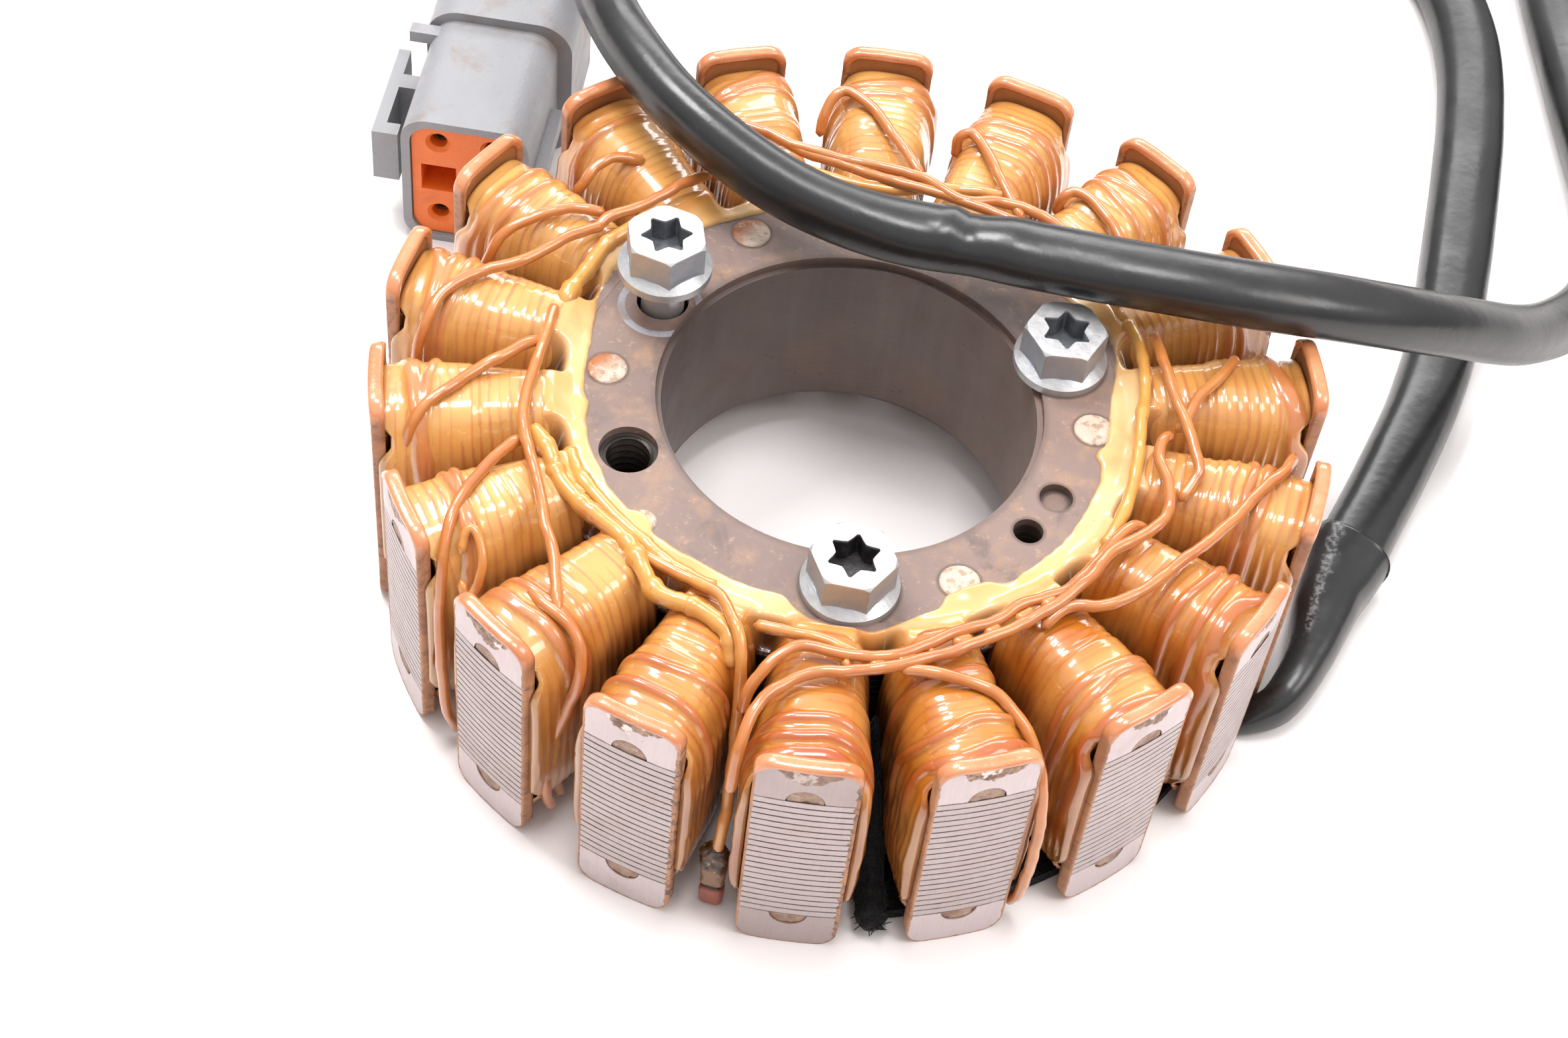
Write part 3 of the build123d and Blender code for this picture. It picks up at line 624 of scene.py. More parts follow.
# ================================================================= the lead
# Control points of the route, in metres. Over the core the sheath sags a little
# between the places where it rests.
ROUTE = [
    (0.073812, 0.005488, 0.00535), (0.083382, 0.027497, 0.0052), (0.0911, 0.0508, 0.0045),
    (0.0948, 0.0747, 0.0043), (0.0983, 0.0986, 0.0043), (0.0999, 0.122, 0.0043),
    (0.096, 0.1438, 0.0043), (0.0834, 0.1623, 0.0043), (0.0643, 0.174, 0.0043),
    (0.0444, 0.1782, 0.0043), (0.0267, 0.1887, 0.0043), (0.0143, 0.205, 0.0043),
    (0.009, 0.2247, 0.0043), (0.0115, 0.2451, 0.0043), (0.0216, 0.2629, 0.0043),
    (0.0376, 0.2756, 0.0043), (0.0573, 0.2813, 0.0043), (0.0777, 0.2791, 0.0043),
    (0.0957, 0.2694, 0.0043), (0.1087, 0.2535, 0.0043), (0.1148, 0.2339, 0.0043),
    (0.1149, 0.208, 0.0043), (0.1146, 0.186, 0.0043), (0.1139, 0.164, 0.0043),
    (0.1145, 0.1425, 0.0043), (0.1177, 0.1075, 0.0045), (0.1195, 0.084, 0.006),
    (0.114, 0.06, 0.0105), (0.1004, 0.0418, 0.0195), (0.0847, 0.029, 0.033),
    (0.0651, 0.0196, 0.0435), (0.0413, 0.017, 0.047), (0.0178, 0.0226, 0.0435),
    (-0.0067, 0.025, 0.043), (-0.0276, 0.0374, 0.046), (-0.0414, 0.0575, 0.0455),
    (-0.047, 0.0801, 0.0385), (-0.0431, 0.1006, 0.0262), (-0.0343, 0.1216, 0.0144),
    (-0.0206, 0.14, 0.0072), (-0.0048, 0.1563, 0.0043), (0.0044, 0.1743, 0.0043),
    (0.0063, 0.1954, 0.0043), (-0.0002, 0.2155, 0.0043), (-0.014, 0.2315, 0.0043),
    (-0.033, 0.2408, 0.0043), (-0.0541, 0.2419, 0.0043), (-0.0737, 0.2349, 0.0043),
    (-0.0889, 0.2209, 0.0043), (-0.0975, 0.2024, 0.0043), (-0.0988, 0.1835, 0.0044),
    (-0.0933, 0.1654, 0.0048), (-0.0818, 0.1505, 0.0056), (-0.0614, 0.124, 0.0088),
]


def nurbs_line(name, points, resolution=12):
    cu = bpy.data.curves.new(name, "CURVE")
    cu.dimensions = "3D"
    cu.resolution_u = resolution
    sp = cu.splines.new("NURBS")
    sp.points.add(len(points) - 1)
    for p, co in zip(sp.points, points):
        p.co = (*co, 1.0)
    sp.order_u = 3
    sp.use_endpoint_u = True
    ob = bpy.data.objects.new(name, cu)
    scene.collection.objects.link(ob)
    bpy.context.view_layer.update()
    me = bpy.data.meshes.new_from_object(ob)
    line = np.array([v.co[:] for v in me.vertices])
    bpy.data.objects.remove(ob)
    bpy.data.curves.remove(cu)
    bpy.data.meshes.remove(me)
    return line


lead_line = nurbs_line("lead_line", ROUTE)

# half width and half height of the flattened sheath, by the control point it is near
FLAT = {0: (5.2, 4.6), 3: (5.6, 4.3), 10: (5.4, 4.3), 24: (5.2, 4.3), 26: (4.2, 4.4), 27: (4.1, 4.5),
        28: (4.3, 4.3), 29: (4.5, 4.2), 30: (4.9, 4.0), 31: (4.8, 4.0), 32: (5.0, 3.9), 33: (3.9, 4.4),
        34: (3.8, 4.5), 35: (4.0, 4.4), 36: (4.3, 4.4), 40: (5.2, 4.3), 53: (4.7, 4.6)}


def sheath():
    line = lead_line / MM
    n = len(line)
    s = np.r_[0, np.cumsum(np.linalg.norm(np.diff(line, axis=0), axis=1))]
    ctrl = np.array(ROUTE) / MM
    at = []
    for k in sorted(FLAT):
        d = np.linalg.norm(line - ctrl[k], axis=1)
        lo = 0 if not at else at[-1][0] + 1
        i = lo + int(np.argmin(d[lo:lo + 400]))
        at.append((i, *FLAT[k]))
    idx = np.array([a[0] for a in at])
    w = np.interp(np.arange(n), idx, [a[1] for a in at])
    h = np.interp(np.arange(n), idx, [a[2] for a in at])
    tan = np.gradient(line, axis=0)
    tan /= np.linalg.norm(tan, axis=1)[:, None]
    side = np.cross(tan, (0, 0, 1.0))
    side /= np.linalg.norm(side, axis=1)[:, None]
    up = np.cross(side, tan)
    m = 30
    ang = np.linspace(0, TAU, m, endpoint=False)
    ca, sa = np.cos(ang), np.sin(ang)
    # a flattened tube: rounder at its sides than an ellipse
    ex = 0.86
    cx = np.sign(ca) * np.abs(ca) ** ex
    cy = np.sign(sa) * np.abs(sa) ** ex
    lump = 1 + 0.015 * noise2(s[:, None], ang[None, :] * 4.0, 5, 26.0)
    # the crease where the sheath is bent over the hub
    crease = float(s[int(np.argmin(np.linalg.norm(line - np.array((16.0, 24.4, 43.0)), axis=1)))])
    u = s - crease
    pinch = 1 - 0.10 * np.exp(-(u / 4.0) ** 2) + 0.05 * np.exp(-((u - 9) / 5.0) ** 2)
    top = np.clip(sa, 0, 1)[None, :]
    fold = (-1.0 * np.exp(-((u - 1.2) / 1.15) ** 2)[:, None] * top
            + 0.60 * np.exp(-((u - 4.0) / 1.6) ** 2)[:, None] * top
            + 0.35 * np.exp(-((u + 4.4) / 2.2) ** 2)[:, None] * top)
    X = w[:, None] * cx[None, :] * lump * pinch[:, None]
    Y = h[:, None] * cy[None, :] * lump + fold
    ring = line[:, None, :] + X[..., None] * side[:, None, :] + Y[..., None] * up[:, None, :]
    ring[..., 2] = np.maximum(ring[..., 2], 0.05)
    v = ring.reshape(-1, 3)
    f = grid_faces(n, m, wrap_m=True)
    f += [list(range(m)), list(range((n - 1) * m, n * m))]
    ob = make("cable_sheath_tube", v, f, SHEATH_MAT)
    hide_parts("cable_sheath")
    return ob


sheath_ob = sheath()


# ---------------------------------------------------------------- outer sleeve
STATIONS = [(54.0, -20.8, 1.0, 4.4, 1.9, 1.15), (57.6, -20.9, 3.0, 4.4, 2.4, 1.4), (61.3, -20.6, 12.0, 4.8, 5.0, 2.7),
            (65.0, -18.3, 36.0, 5.4, 7.6, 4.0), (68.4, -11.9, 60.0, 6.4, 9.2, 4.8), (71.1, -2.9, 67.0, 9.0, 10.0, 5.2),
            (74.3, 6.6, 66.5, 12.0, 10.5, 5.3), (75.0, 8.2, 66.5, 12.5, 10.7, 5.4)]


def outer_sleeve():
    st = np.array(STATIONS)
    s = np.r_[0, np.cumsum(np.hypot(*np.diff(st[:, :2], axis=0).T))]
    q = np.linspace(0, s[-1], 90)
    fine, _ = curve_through(np.c_[st[:, 0], st[:, 1], st[:, 5]], 0.2)
    fs = np.r_[0, np.cumsum(np.linalg.norm(np.diff(fine, axis=0), axis=1))]
    q = np.linspace(0, fs[-1], 90)
    c = np.stack([np.interp(q, fs, fine[:, k]) for k in range(3)], -1)
    sx = s / s[-1] * fs[-1]
    w = np.interp(q, sx, st[:, 3]) / 2
    h = np.interp(q, sx, st[:, 4]) / 2
    tan = np.gradient(c, axis=0)
    tan[:, 2] = 0
    tan /= np.linalg.norm(tan, axis=1)[:, None]
    side = np.cross(tan, (0, 0, 1.0))
    m = 36
    ang = np.linspace(0, TAU, m, endpoint=False)
    ca, sa = np.cos(ang), np.sin(ang)
    cx = np.sign(ca) * np.abs(ca) ** 0.8
    cy = np.sign(sa) * np.abs(sa) ** 0.8
    lump = 1 + 0.03 * noise2(q[:, None], ang[None, :] * 3, 9, 14.0)
    outer = (c[:, None, :] + (w[:, None] * cx[None, :] * lump)[..., None] * side[:, None, :]
             + (h[:, None] * cy[None, :] * lump)[..., None] * np.array((0, 0, 1.0)))
    outer[..., 2] = np.maximum(outer[..., 2], 0.06)
    # wall of the open end, turned in to the sheath
    rows = [outer]
    endc, endr = c[-1], outer[-1]
    for f, back in ((0.93, 0.25), (0.86, 0.2), (0.8, -1.0), (0.76, -5.0)):
        rows.append((endc + (endr - endc) * f + tan[-1] * back)[None])
    grid = np.vstack(rows)
    n = len(grid)
    v = grid.reshape(-1, 3)
    fc = grid_faces(n, m, wrap_m=True)
    fc += [list(range(m)), list(range((n - 1) * m, n * m))]
    # a lighter grey band along the upper side
    seam = np.exp(-((ang[None, :] - 1.95 - 0.10 * noise1(np.arange(n) * 1.0, 14, 9.0)[:, None]) / 0.17) ** 2)
    seam = seam * step(np.arange(n)[:, None] * 1.0, 38.0, 52.0) * (np.arange(n)[:, None] < 90)
    ob = make("outer_sleeve_tube", v, fc, SLEEVE_MAT, {"seam": seam})
    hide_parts("outer_sleeve")
    return ob


outer_ob = outer_sleeve()


# ---------------------------------------------------------------- wires into the connector
for name in ("lead_wires", "contact_sockets", "rear_seal", "sealing_plug", "connector_housing", "wedge_lock"):
    ob = nodes[name]
    mat = {"lead_wires": INSUL_MAT, "contact_sockets": BRASS_MAT, "rear_seal": SEAL_MAT, "sealing_plug": SEAL_MAT,
           "connector_housing": GREY_MAT, "wedge_lock": ORANGE_MAT}[name]
    for sl in ob.material_slots:
        sl.material = mat
    if name in ("connector_housing", "wedge_lock", "rear_seal"):
        bev = ob.modifiers.new("soft_edges", "BEVEL")
        bev.width = 0.00045 if name != "wedge_lock" else 0.0003
        bev.segments = 3
        bev.limit_method = "ANGLE"
        bev.angle_limit = math.radians(35)


# ================================================================= core sheets
N = 18
R_OUT, R_BORE, R_RING = 64.0, 25.5, 37.5
NECK, FACE, SHOE0, SHOE1 = 7.0, 13.0, 61.25, 62.2
Z0, Z1, LAM = 6.875, 33.125, 1.25
HOLES = [(31.7, -85.5, 3.6), (30.2, 22.5, 3.6), (30.45, 153.4, 3.6), (31.4, -154.3, 3.4), (31.2, -37.0, 2.0)]
RIVETS = [(33.0, 0, 2.7, 0.1), (33.0, 60, 2.7, 0.3), (33.0, 120, 2.7, 1.0), (33.0, 180, 2.7, 1.0), (35.5, 225.4, 1.9, 1.0),
          (33.0, 300, 2.7, 0.15)]
HOLES += [(r, a, rad) for r, a, rad, _ in RIVETS]


def pole_dir(k):
    a = math.radians(-90 + 20 * k)
    return np.array((math.cos(a), math.sin(a))), np.array((-math.sin(a), math.cos(a)))


def star_outline():
    pts = []
    for k in range(N):
        e, t = pole_dir(k)
        def P(r, w):
            return e * r + t * w
        half = NECK / 2
        a_ring = math.asin(half / R_RING)
        pts.append(P(R_RING * math.cos(a_ring), -half))
        for r in (44, 50, 56):
            pts.append(P(r, -half))
        pts.append(P(SHOE0, -half))
        pts.append(P((SHOE0 + SHOE1) / 2, -(half + FACE / 2) / 2))
        pts.append(P(SHOE1, -FACE / 2))
        for w in np.linspace(-FACE / 2, FACE / 2, 13):
            pts.append(P(math.sqrt(R_OUT ** 2 - w * w), w))
        pts.append(P(SHOE1, FACE / 2))
        pts.append(P((SHOE0 + SHOE1) / 2, (half + FACE / 2) / 2))
        pts.append(P(SHOE0, half))
        for r in (56, 50, 44):
            pts.append(P(r, half))
        pts.append(P(R_RING * math.cos(a_ring), half))
        base = math.radians(-90 + 20 * k)
        for f in (0.25, 0.5, 0.75):
            a = base + a_ring + (math.radians(20) - 2 * a_ring) * f
            pts.append(np.array((math.cos(a), math.sin(a))) * R_RING)
    return np.array(pts)


def stack():
    out = star_outline()
    prev, nxt = np.roll(out, 1, 0), np.roll(out, -1, 0)
    d = nxt - prev
    d /= np.linalg.norm(d, axis=1)[:, None]
    inward = np.stack([-d[:, 1], d[:, 0]], -1)          # the outline runs anticlockwise
    levels = []
    rng = np.random.default_rng(11)
    for i in range(21):
        a, b = Z0 + i * LAM, Z0 + (i + 1) * LAM
        j = rng.uniform(-0.02, 0.02)
        levels += [(a + 0.03, 0.13), (a + 0.13 + j, 0.0), (b - 0.13 + j, 0.0), (b - 0.03, 0.13)]
    levels[0] = (Z0, 0.0)
    levels[-1] = (Z1, 0.0)
    verts, faces = [], []
    n = len(out)
    for z, inset in levels:
        p = out + inward * inset
        verts.append(np.c_[p, np.full(n, z)])
    faces += grid_faces(len(levels), n, wrap_m=True)
    base = len(levels) * n

    def hole(cx, cy, r, count, inset):
        nonlocal base
        a = -np.linspace(0, TAU, count, endpoint=False)
        first = base
        for z, ins in levels:
            rr = r + ins * inset
            verts.append(np.c_[cx + rr * np.cos(a), cy + rr * np.sin(a), np.full(count, z)])
        faces.extend(grid_faces(len(levels), count, wrap_m=True, base=first))
        base += len(levels) * count
        return first, count

    rings = [(0, n)]
    rings.append(hole(0, 0, R_BORE, 144, 0.03))
    for r, a, rad in HOLES:
        rings.append(hole(r * math.cos(math.radians(a)), r * math.sin(math.radians(a)), rad, 36, 0.4))
    V = np.vstack(verts)
    for lvl in (0, len(levels) - 1):
        loops, ids = [], []
        for first, count in rings:
            idx = [first + lvl * count + i for i in range(count)]
            loops.append([Vector((*V[i][:2], 0)) for i in idx])
            ids += idx
        for tri in tessellate_polygon(loops):
            faces.append([ids[i] for i in tri])
    ob = make("core_laminations", V, faces, LAM_MAT, smooth=False)
    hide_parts("lamination_stack")
    return ob


stack()

for name in ("end_plate_top", "end_plate_bottom"):
    for sl in nodes[name].material_slots:
        sl.material = PLATE_MAT


# ---------------------------------------------------------------- coating round the pole faces
def rims():
    V, F, W, B, base = [], [], [], [], 0
    for k in range(N):
        e, t = pole_dir(k)
        rng = np.random.default_rng(300 + k)
        # loop round the face: t, z of the edge and the way in from it
        loop = []
        R = 2.6
        for z in np.arange(2.9, 37.2, 0.42):
            loop.append((6.5, z, -1.0, 0.0))
        for a in np.linspace(0, math.pi / 2, 9):
            loop.append((6.5 - R + R * math.cos(a), 40 - R + R * math.sin(a), -math.cos(a), -math.sin(a)))
        for w in np.linspace(3.5, -3.5, 15):
            loop.append((w, 40.0, 0.0, -1.0))
        for a in np.linspace(math.pi / 2, math.pi, 9):
            loop.append((-6.5 + R + R * math.cos(a), 40 - R + R * math.sin(a), -math.cos(a), -math.sin(a)))
        for z in np.arange(37.1, 2.8, -0.42):
            loop.append((-6.5, z, 1.0, 0.0))
        for a in np.linspace(math.pi, 1.5 * math.pi, 9):
            loop.append((-6.5 + R + R * math.cos(a), R + R * math.sin(a), -math.cos(a), -math.sin(a)))
        for w in np.linspace(-3.5, 3.5, 15):
            loop.append((w, 0.0, 0.0, 1.0))
        for a in np.linspace(1.5 * math.pi, TAU, 9):
            loop.append((6.5 - R + R * math.cos(a), R + R * math.sin(a), -math.cos(a), -math.sin(a)))
        L = np.array(loop)
        n = len(L)
        arc = np.r_[0, np.cumsum(np.hypot(*np.diff(L[:, :2], axis=0).T))]
        tt, zz, nt, nz = L.T
        top = step(zz, 37.0, 39.0)
        low = step(zz, 3.0, 1.0)
        jag = noise1(arc, 400 + k, 1.9, 3)
        big = noise1(arc, 500 + k, 9.0, 2)
        right = step(tt, 5.8, 6.3) * (1 - top) * (1 - low)
        frayed = 1.0 if k in (17, 0) else 0.25
        wi = 0.24 + 0.10 * jag + 0.05 * big + right * frayed * (0.10 + 0.42 * np.clip(jag, 0, 1)) - 0.10 * low + 0.10 * top
        wi = np.clip(wi, 0.08, 1.2)
        o = 0.13 + 0.03 * big + 0.05 * right
        o = o * (1 - top) + (0.46 + 0.06 * big) * top
        o = o * (1 - low) + 0.06 * low
        p = np.clip(0.04 + 0.02 * jag + 0.10 * top, 0.02, 0.3)
        back = 62.2 - 0.10 * top
        P = np.zeros((n, 10, 3))
        one = np.ones(n)
        sec = [(wi, 63.99 * one), (0.7 * wi, 64.0 + p), (0.15 * wi, 64.0 + p), (-0.6 * o, 64.0 + 0.5 * p - 0.06), (-0.95 * o, 63.72 * one),
               (-1.04 * o, 63.2 * one), (-0.98 * o, back + 0.5), (-0.62 * o, back + 0.06), (0.45 + 0 * o, back), (1.1 + 0 * o, back + 0.42)]
        for j, (nn, rr) in enumerate(sec):
            pt = tt + nt * nn
            pz = np.clip(zz + nz * nn, 0.03, 40.6)
            rad_in = np.sqrt(np.maximum(rr ** 2 - pt ** 2, 0))
            xy = e[None, :] * rad_in[:, None] + t[None, :] * pt[:, None]
            P[:, j, 0], P[:, j, 1], P[:, j, 2] = xy[:, 0], xy[:, 1], pz
        m = len(sec)
        V.append(P.reshape(-1, 3))
        F += grid_faces(n, m, wrap_n=True, wrap_m=True, base=base)
        worn = np.clip(0.25 + 0.75 * right * frayed + 0.35 * noise1(arc, 600 + k, 6.0) + 0.3 * low, 0, 1) * (1 - 0.9 * top)
        W.append(np.repeat(worn, m))
        B.append(np.repeat(top, m))
        base += n * m
    return make("pole_tip_coating", np.vstack(V), F, COAT_MAT,
                {"worn": np.concatenate(W), "bead": np.concatenate(B)})


rims()


def notch_fills():
    """Old varnish left in the relief notches of the tips, worn ragged and a little sunk."""
    V, F, W, base = [], [], [], 0
    for k in range(N):
        e, t = pole_dir(k)
        for up in (1, -1):
            rng = np.random.default_rng(700 + 2 * k + (up > 0))
            a = np.linspace(0, math.pi, 25)
            rad = 2.42 * (1 - 0.10 * np.clip(noise1(a * 3, 750 + 2 * k + (up > 0), 3.0), 0, 1))
            rows = []
            for f in (1.0, 0.9, 0.6, 0.3, 0.0):
                pt = rad * np.cos(a) * f
                pz = rad * np.sin(a) * f * 0.98
                depth = 0.12 + 0.10 * noise2(pt, pz, 780 + k, 1.6) + (0.10 if f == 1.0 else 0)
                rr = 64.0 - np.clip(depth, 0.02, 0.4)
                z = 20 + up * (13.14 + pz)
                along = np.sqrt(rr ** 2 - pt ** 2)
                rows.append(np.stack([e[0] * along + t[0] * pt, e[1] * along + t[1] * pt, z], -1))
            V.append(np.vstack(rows))
            F += grid_faces(5, len(a), base=base)
            W.append(np.full(5 * len(a), rng.uniform(0.5, 1.0)))
            base += 5 * len(a)
    w = np.concatenate(W)
    return make("notch_varnish", np.vstack(V), F, NOTCH_MAT, {"worn": w})


notch_fills()


# ================================================================= coils
CR0, CR1, EXP = 39.8, 61.2, 3.4
PITCH = 1.42
# wires lying across the turns: (distance round the coil from its top, radius)
ROPES = {
    0: [[(-8, 56), (-4.8, 55.1), (-0.8, 54.6), (2.3, 54.4), (5.8, 55.3), (10, 57)],
        [(-9.9, 56.7), (-2.8, 57.5), (1.6, 57.0), (5.0, 57.5), (7.9, 58.2)],
        [(-4.9, 59.6), (-1.2, 59.4), (2.4, 59.2), (4.5, 59.9)]],
    1: [[(-21.1, 47.1), (-12.6, 47.6), (-7.4, 48.0), (-4.0, 48.3)],
        [(-13, 53.5), (-4.9, 56.4), (0.3, 55.3), (3.5, 55.5)],
        [(-9.9, 58.4), (-5.1, 59.4), (-2.6, 59.8), (1.6, 59.3), (7.3, 58.6)]],
    17: [[(-1.4, 57.1), (3.6, 57.3), (7.4, 57.5)], [(-1.1, 53.3), (3.5, 52.7), (9.2, 50.7)]],
    2: [[(-12.6, 55.4), (-5.3, 54.8), (-0.5, 54.7), (4.9, 55.1)], [(-10.4, 57.2), (-4.2, 56.9), (0.6, 55.9)],
        [(-14.4, 60.4), (-5.3, 60.1), (-0.6, 60.0), (3.4, 60.4)]],
    3: [[(-16.5, 54.1), (-5.2, 53.3), (-0.2, 54.1), (3.2, 54.6)], [(-11, 57.2), (-3, 56.7), (2.1, 56.7)],
        [(-10, 59.8), (-3.5, 59.0), (1.0, 59.2), (2.7, 60.2)]],
}
ROUGH = {1: 0.15, 2: 0.35, 3: 0.6, 4: 0.9, 5: 0.8, 6: 0.5, 13: 0.1, 12: 0.2, 7: 0.3, 8: 0.3}
# varnish tone of each coil, 0 pale yellow to 1 orange; partly painted light: the left coils get low values, painted
# paler for the glare on that side
TONES = {0: 0.75, 1: 0.8, 2: 0.75, 3: 0.7, 4: 0.45, 5: 0.3, 6: 0.25, 7: 0.3, 8: 0.3, 9: 0.25, 10: 0.3, 11: 0.3,
         12: 0.08, 13: 0.12, 14: 0.12, 15: 0.2, 16: 0.45, 17: 0.65}


def half_sizes(r):
    s = np.clip((r - CR0) / (CR1 - CR0), -0.1, 1.1)
    return 6.25 + 1.35 * s, 16.7 + 0.6 * np.sin(np.pi * np.clip(s, 0, 1))


def ring_tables(a, b, expo=EXP, count=1600):
    """Points, outward normals and arc length round a rounded box, from the top centre towards +t."""
    w = np.linspace(-np.pi, np.pi, count)
    x = a * np.sign(np.sin(w)) * np.abs(np.sin(w)) ** (2 / expo)
    z = b * np.sign(np.cos(w)) * np.abs(np.cos(w)) ** (2 / expo)
    s = np.r_[0, np.cumsum(np.hypot(np.diff(x), np.diff(z)))]
    s -= s[-1] / 2
    nx = np.sign(x) * np.abs(x / a) ** (expo - 1) / a
    nz = np.sign(z) * np.abs(z / b) ** (expo - 1) / b
    ln = np.hypot(nx, nz) + 1e-12
    return s, x, z, nx / ln, nz / ln


def seg_dist(q, r, poly):
    best = np.full(q.shape, 1e9)
    for (q0, r0), (q1, r1) in zip(poly[:-1], poly[1:]):
        dq, dr = q1 - q0, r1 - r0
        t = np.clip(((q - q0) * dq + (r - r0) * dr) / (dq * dq + dr * dr + 1e-9), 0, 1)
        best = np.minimum(best, np.hypot(q - q0 - t * dq, r - r0 - t * dr))
    return best


def smooth_poly(poly):
    line, _ = curve_through([(a, b, 0.0) for a, b in poly], 0.8)
    return [(p[0], p[1]) for p in line]


def coil(k):
    rng = np.random.default_rng(1000 + k)
    fr = np.r_[np.linspace(-27, 27, 97), np.linspace(27, 63.0, 24)[1:-1]]      # last ones run round the bottom
    mid = ring_tables(*[float(v) for v in half_sizes(50.0)])
    full = mid[0][-1] * 2
    fr = np.where(fr > 27, 27 + (fr - 27) / 36.0 * (full - 54), fr)
    frac = ((fr / full + 0.5) % 1.0) - 0.5
    cols = np.linspace(CR0, CR1, 96)
    n, m = len(frac), len(cols)
    X, Zz, NX, NZ, Q = (np.zeros((n, m)) for _ in range(5))
    for j, r in enumerate(cols):
        a, b = (float(v) for v in half_sizes(r))
        s, x, z, nx, nz = ring_tables(a, b)
        q = frac * 2 * s[-1]
        X[:, j], Zz[:, j] = np.interp(q, s, x), np.interp(q, s, z)
        NX[:, j], NZ[:, j] = np.interp(q, s, nx), np.interp(q, s, nz)
        Q[:, j] = q
    Rr = np.tile(cols, (n, 1))
    # beside and above the shoe the winding reaches on round the tip
    Rs = Rr + step(Rr, 58.2, 61.2) * np.maximum(1.25 * step(np.abs(Zz), 14.45, 15.1), 1.7 * step(np.abs(X), 6.5, 7.25))
    ph = TAU * frac[:, None]
    rough = ROUGH.get(k, 0.0)
    edge = 50.4 + rng.uniform(-0.8, 0.8) + 0.5 * np.sin(ph * 2 + rng.uniform(0, 6)) + 0.4 * np.sin(ph * 5 + rng.uniform(0, 6))
    layer = step(Rr, edge - 1.1, edge + 1.1)
    top_lift = 0.45
    wob = (0.10 * np.sin(ph * 3 + Rr * 0.25 + rng.uniform(0, 6)) + 0.06 * np.sin(ph * 7 - Rr * 0.4 + rng.uniform(0, 6))
           + 0.03 * np.sin(ph * 12 + Rr * 0.8 + rng.uniform(0, 6)))
    phase = (Rs - CR0) / PITCH + 0.6 * frac[:, None] + wob + 0.35 * layer
    near = np.abs(phase - np.round(phase))              # 0 on a crest, 0.5 in a valley
    turn = np.clip(np.round(phase).astype(int), 0, 39)
    lift = rng.uniform(-0.16, 0.16, 40)[turn]
    keep = rng.uniform(0.45, 1.0, 40)[turn]
    ridge = np.cos(np.pi * near) ** 2
    crest = np.clip(ridge * 1.35 - 0.35, 0, 1) * keep
    fill = np.clip(0.5 + 0.7 * noise2(Q * 1.0, Rr * 1.3, 2000 + k, 11.0), 0, 1)
    amp = 0.21 + 0.10 * rough
    flank = step(np.abs(Q), 9.0, 13.0)
    h = amp * (1 + 0.7 * flank) * (ridge + lift) * (1 - 0.4 * fill) + top_lift * layer
    gap = np.zeros((n, m))
    # a few hair lines between turns, and open valleys on the rough coils darkened with painted shade
    for _ in range(2):
        g = math.floor(rng.uniform(1.0, 13.0)) + 0.5
        q0, wq = rng.uniform(-8, 8), rng.uniform(5, 10)
        gap = np.maximum(gap, 0.55 * np.exp(-((phase - g) / 0.07) ** 2) * np.exp(-((Q - q0) / wq) ** 4))
    for _ in range(int(round(5 * rough))):
        g = math.floor(rng.uniform(1.0, 14.0)) + 0.5
        q0, wq = rng.choice([-1, 1]) * rng.uniform(6, 18), rng.uniform(4, 8)
        band = np.exp(-((phase - g) / 0.16) ** 2) * np.exp(-((Q - q0) / wq) ** 4)
        h -= 0.45 * band
        gap = np.maximum(gap, 0.9 * band)
    # on the flanks the valleys between turns sink and get painted shade
    h -= (0.04 + 0.16 * rough) * flank * (1 - ridge)
    gap = np.maximum(gap, (0.16 + 0.5 * rough) * flank * np.clip(1 - ridge * 1.8, 0, 1) * (1 - fill * 0.6))
    rope = np.zeros((n, m))
    polys = [smooth_poly(p) for p in ROPES.get(k, [])]
    if not polys:
        for i in range(int(rng.integers(2, 4))):
            r0 = rng.uniform(53.0, 59.4)
            tilt = rng.uniform(-0.22, 0.22)
            polys.append(smooth_poly([(q, np.clip(r0 + tilt * q + rng.uniform(-0.3, 0.3), 46, 60.3)) for q in (-9, -5, -1, 3, 7, 10)]))
    for i, poly in enumerate(polys):
        ends = []
        for (q0, r0), (q1, r1) in ((poly[1], poly[0]), (poly[-2], poly[-1])):
            sgn = np.sign(q1 - q0)
            drift = rng.uniform(-1.2, 1.2)
            ends.append([(q1 + sgn * 7, np.clip(r1 + drift * 0.5, 41, 60.4)), (q1 + sgn * 16, np.clip(r1 + drift, 41, 60.4))])
        line = ends[0][::-1] + poly + ends[1]
        d = seg_dist(Q, Rr, line)
        w, H = rng.uniform(0.74, 0.84), rng.uniform(0.55, 0.80)
        q_lo, q_hi = min(poly[0][0], poly[-1][0]), max(poly[0][0], poly[-1][0])
        out = np.maximum(q_lo - Q, Q - q_hi)
        fade = 1 - 0.9 * step(out, 2.0, 15.0)
